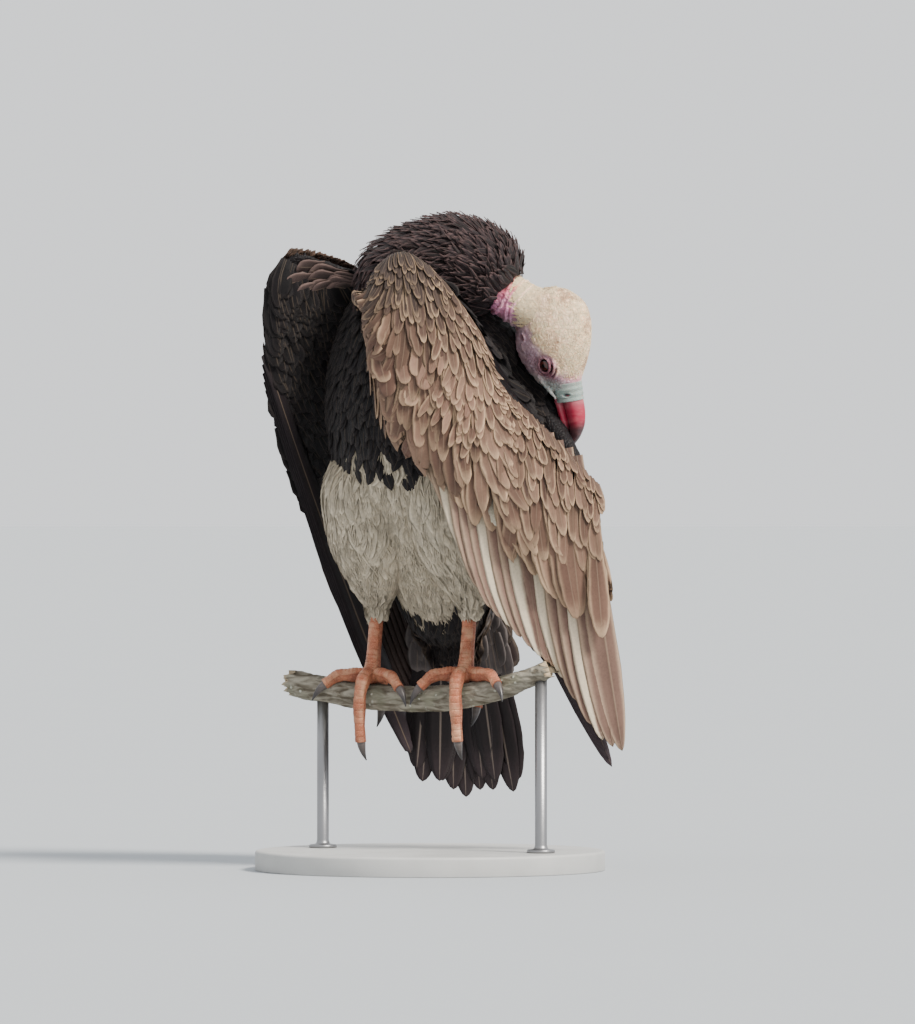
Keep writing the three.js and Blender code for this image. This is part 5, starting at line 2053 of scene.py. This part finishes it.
@dataclass
class Skin:
    """The one skin of the bird: flesh under the coat, the bare head and neck, and the bare feet."""

    trunk: Trunk
    neck: Neck
    head: Head
    legs: Legs
    left: LeftWing
    right: RightWing

    def build(self) -> Piece:
        """Makes the skin and hides the frame's nodes of flesh."""
        covered = [(self.trunk.tube(self.trunk.coat_depth), 80, 64), *self.neck.flesh(), *self.left.flesh(),
                   *self.right.flesh(), *((self.legs.thigh_tube(side, 8.0), 40, 40) for side in (1, -1))]
        parts = (("under_coat", covered, 4.0, 4, self.dress_body),
                 ("bare_head", [*self.head.flesh(), *self.neck.bare()], 0.8, 2, self.dress_head),
                 ("bare_feet", self.legs.flesh(), 0.9, 3, self.dress_feet))
        meshes = [bake_mesh(name, joined([tube_solid(*tube) for tube in tubes]), voxel, smooth)
                  for name, tubes, voxel, smooth, _ in parts]
        for mesh, (*_, dress) in zip(meshes, parts):
            dress(mesh)
        objects = [placed(mesh.name, mesh) for mesh in meshes]
        skin = objects[0]
        with bpy.context.temp_override(active_object=skin, selected_objects=objects,
                                       selected_editable_objects=objects):
            bpy.ops.object.join()
        skin.name = skin.data.name = "skin"
        skin.data.materials.clear()
        skin.data.materials.append(SkinFinish("bird_skin").make())
        skin.data.polygons.foreach_set("use_smooth", np.ones(len(skin.data.polygons), bool))
        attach(skin, "root")
        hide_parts("trunk", "ruff", "neck", "head", "thigh_left", "thigh_right", "tarsus_left",
                    "tarsus_right", "foot_left", "foot_right", "wing_left_upper_arm", "wing_left_coverts",
                    "wing_left_shoulder", "wing_right_coverts")
        LOG.info("skin: %d faces", len(skin.data.polygons))
        return skin

    def dress_body(self, mesh: Mesh) -> None:
        """Colours the skin under the coat like the coat, so that no gap shows."""
        points = mesh_points(mesh)
        white = self.trunk.white(points)
        ahead, side = body_place(points)
        below = ease(452, 425, points[:, 2]) * ease(-70, -30, ahead)
        near_leg = (np.abs(side) < 110) & (points[:, 2] < 400) & (ahead > -60)
        share = np.clip(np.maximum(white, near_leg * 0.8 * below), 0, 1)
        tone = blend(Feather.SOOT, (0.5, 0.45, 0.34), share)
        colour_mesh(mesh, tone, tone * 1.15)

    def dress_head(self, mesh: Mesh) -> None:
        """Shapes the sockets, ears and wrinkles, and colours the bare face, with painted shade on its lower side, in
        the ear openings and in the wrinkles' folds.
        """
        points = self.head.socket(mesh_points(mesh))
        normals = mesh_normals(mesh)
        along, crown, right = head_place(points)
        ear = self.head.ears(points)
        wrinkle = bumpy(points, 5.5, 4)
        neck = ease(-20, -40, along) + ease(6, -22, crown)
        calm = ease(9, 14, np.hypot(along - EYE[0], crown - EYE[1]))
        points = points + normals * ((wrinkle * (0.35 + 0.75 * np.clip(neck, 0, 1)) * calm) - ear * 3.0)[:, None]
        move_points(mesh, points)
        pink, mauve, tan = (0.74, 0.3, 0.48), (0.44, 0.29, 0.34), (0.62, 0.34, 0.2)
        # the mauve of the lower face is partly the skin's own colour and partly painted shade, as that side lies away
        # from the light
        tone = blend(pink, mauve, ease(-30, -5, along) * ease(20, -5, crown))
        tone = blend(tone, tan, ease(8, 26, crown) * 0.7)
        tone = blend(tone, (0.9, 0.66, 0.4), np.clip(self.head.downy(points), 0, 1) * 0.92)
        eye = ease(15, 6, np.hypot((along - 38) * 0.8, crown + 6)) * (np.abs(right) > 10)
        tone = blend(tone, (0.14, 0.05, 0.065), eye * 0.88)
        lore = ease(8, 2, np.abs(crown + 6 - 0.1 * (along - 36))) * ease(42, 50, along)
        tone = blend(tone, (0.22, 0.08, 0.12), lore * ease(66, 58, along) * (np.abs(right) > 8) * 0.7)
        # painted shade: the ear openings are darkened as hollows that the light does not reach
        tone = blend(tone, (0.16, 0.05, 0.07), np.clip(ear, 0, 1) * 0.9)
        tone = blend(tone, (0.3, 0.35, 0.32), ease(46, 58, along - 0.35 * (crown + 6)) * 0.85)
        rim = ease(92, 82, points[:, 0]) * ease(560, 580, points[:, 2])
        tone = blend(tone, (0.5, 0.03, 0.04), rim * 0.7)
        # painted light and shade: the colour is lighter where the wrinkles bulge and darker in their folds
        colour_mesh(mesh, tone * (1 + 0.15 * wrinkle[:, None]), blend(tone, (0.85, 0.62, 0.58), 0.45 - 0.4 * eye))

    def dress_feet(self, mesh: Mesh) -> None:
        """Colours the shanks and toes."""
        points = mesh_points(mesh)
        tone = np.array([0.3, 0.11, 0.065]) * (1 + 0.25 * bumpy(points, 12.0, 3))[:, None]
        colour_mesh(mesh, tone, tone * np.array([1.3, 1.5, 1.35]))


@dataclass
class Studio:
    """The pale floor, the broad soft light and the camera."""

    camera: Place = (0.0275, -8.0, 0.358)
    lens: float = 281.25
    floor_size: float = 400.0
    key_from: Place = (1.5, -1.5, 2.0)
    key_energy: float = 6.9
    key_width: float = 16.0
    key_tone: Colour = (1.0, 0.95, 0.87)
    sky_tone: Colour = (0.96, 0.98, 1.0)
    sky_strength: float = 1.23
    film_width: float = 36.0

    def build(self) -> None:
        """Makes everything that is not the model."""
        half = self.floor_size / 2
        mesh = bpy.data.meshes.new("floor")
        mesh.from_pydata([(-half, -half, 0), (half, -half, 0), (half, half, 0), (-half, half, 0)], [], [(0, 1, 2, 3)])
        floor = placed("floor", mesh)
        shader = Shader("floor_paint", Roughness=0.9, Specular_IOR_Level=0.1)
        shader.colour(shader.mix((0.42, 0.445, 0.47), (0.41, 0.435, 0.46), shader.noise(3.0)))
        mesh.materials.append(shader.material)
        world = bpy.data.worlds.new("studio")
        bpy.context.scene.world = world
        world.use_nodes = True
        sky = world.node_tree.nodes["Background"].inputs
        sky["Color"].default_value, sky["Strength"].default_value = (*self.sky_tone, 1), self.sky_strength
        key = bpy.data.lights.new("key", "SUN")
        key.energy, key.angle, key.color = self.key_energy, math.radians(self.key_width), self.key_tone
        placed("key", key).rotation_euler = Vector(self.key_from).to_track_quat("Z", "Y").to_euler()
        lens = bpy.data.cameras.new("camera")
        lens.lens, lens.sensor_width, lens.clip_end = self.lens, self.film_width, self.floor_size / 2
        camera = placed("camera", lens)
        camera.location, camera.rotation_euler = self.camera, (math.pi / 2, 0, 0)
        bpy.context.scene.camera = camera


def main() -> None:
    """Builds the whole model in order."""
    logging.basicConfig(level=logging.INFO, format="%(message)s")
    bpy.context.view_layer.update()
    Studio().build()
    perch, trunk, neck, head, legs = Perch(), Trunk(), Neck(), Head(), Legs()
    left, right, tail = LeftWing(), RightWing(), Tail()
    pieces = [*Stand().build(perch), perch.build(), Skin(trunk, neck, head, legs, left, right).build(),
              *trunk.build(), *legs.trousers(), legs.scutes(), *legs.claws(), neck.ruff(), *head.down(neck),
              *head.eyes(), *Bill().build(), left.coverts(), *left.quills(), left.lining(), *right.build(),
              *tail.build()]
    for piece in pieces:
        LOG.info("%s: %d points", piece.name, len(piece.data.vertices))


if __name__ == "__main__":
    main()
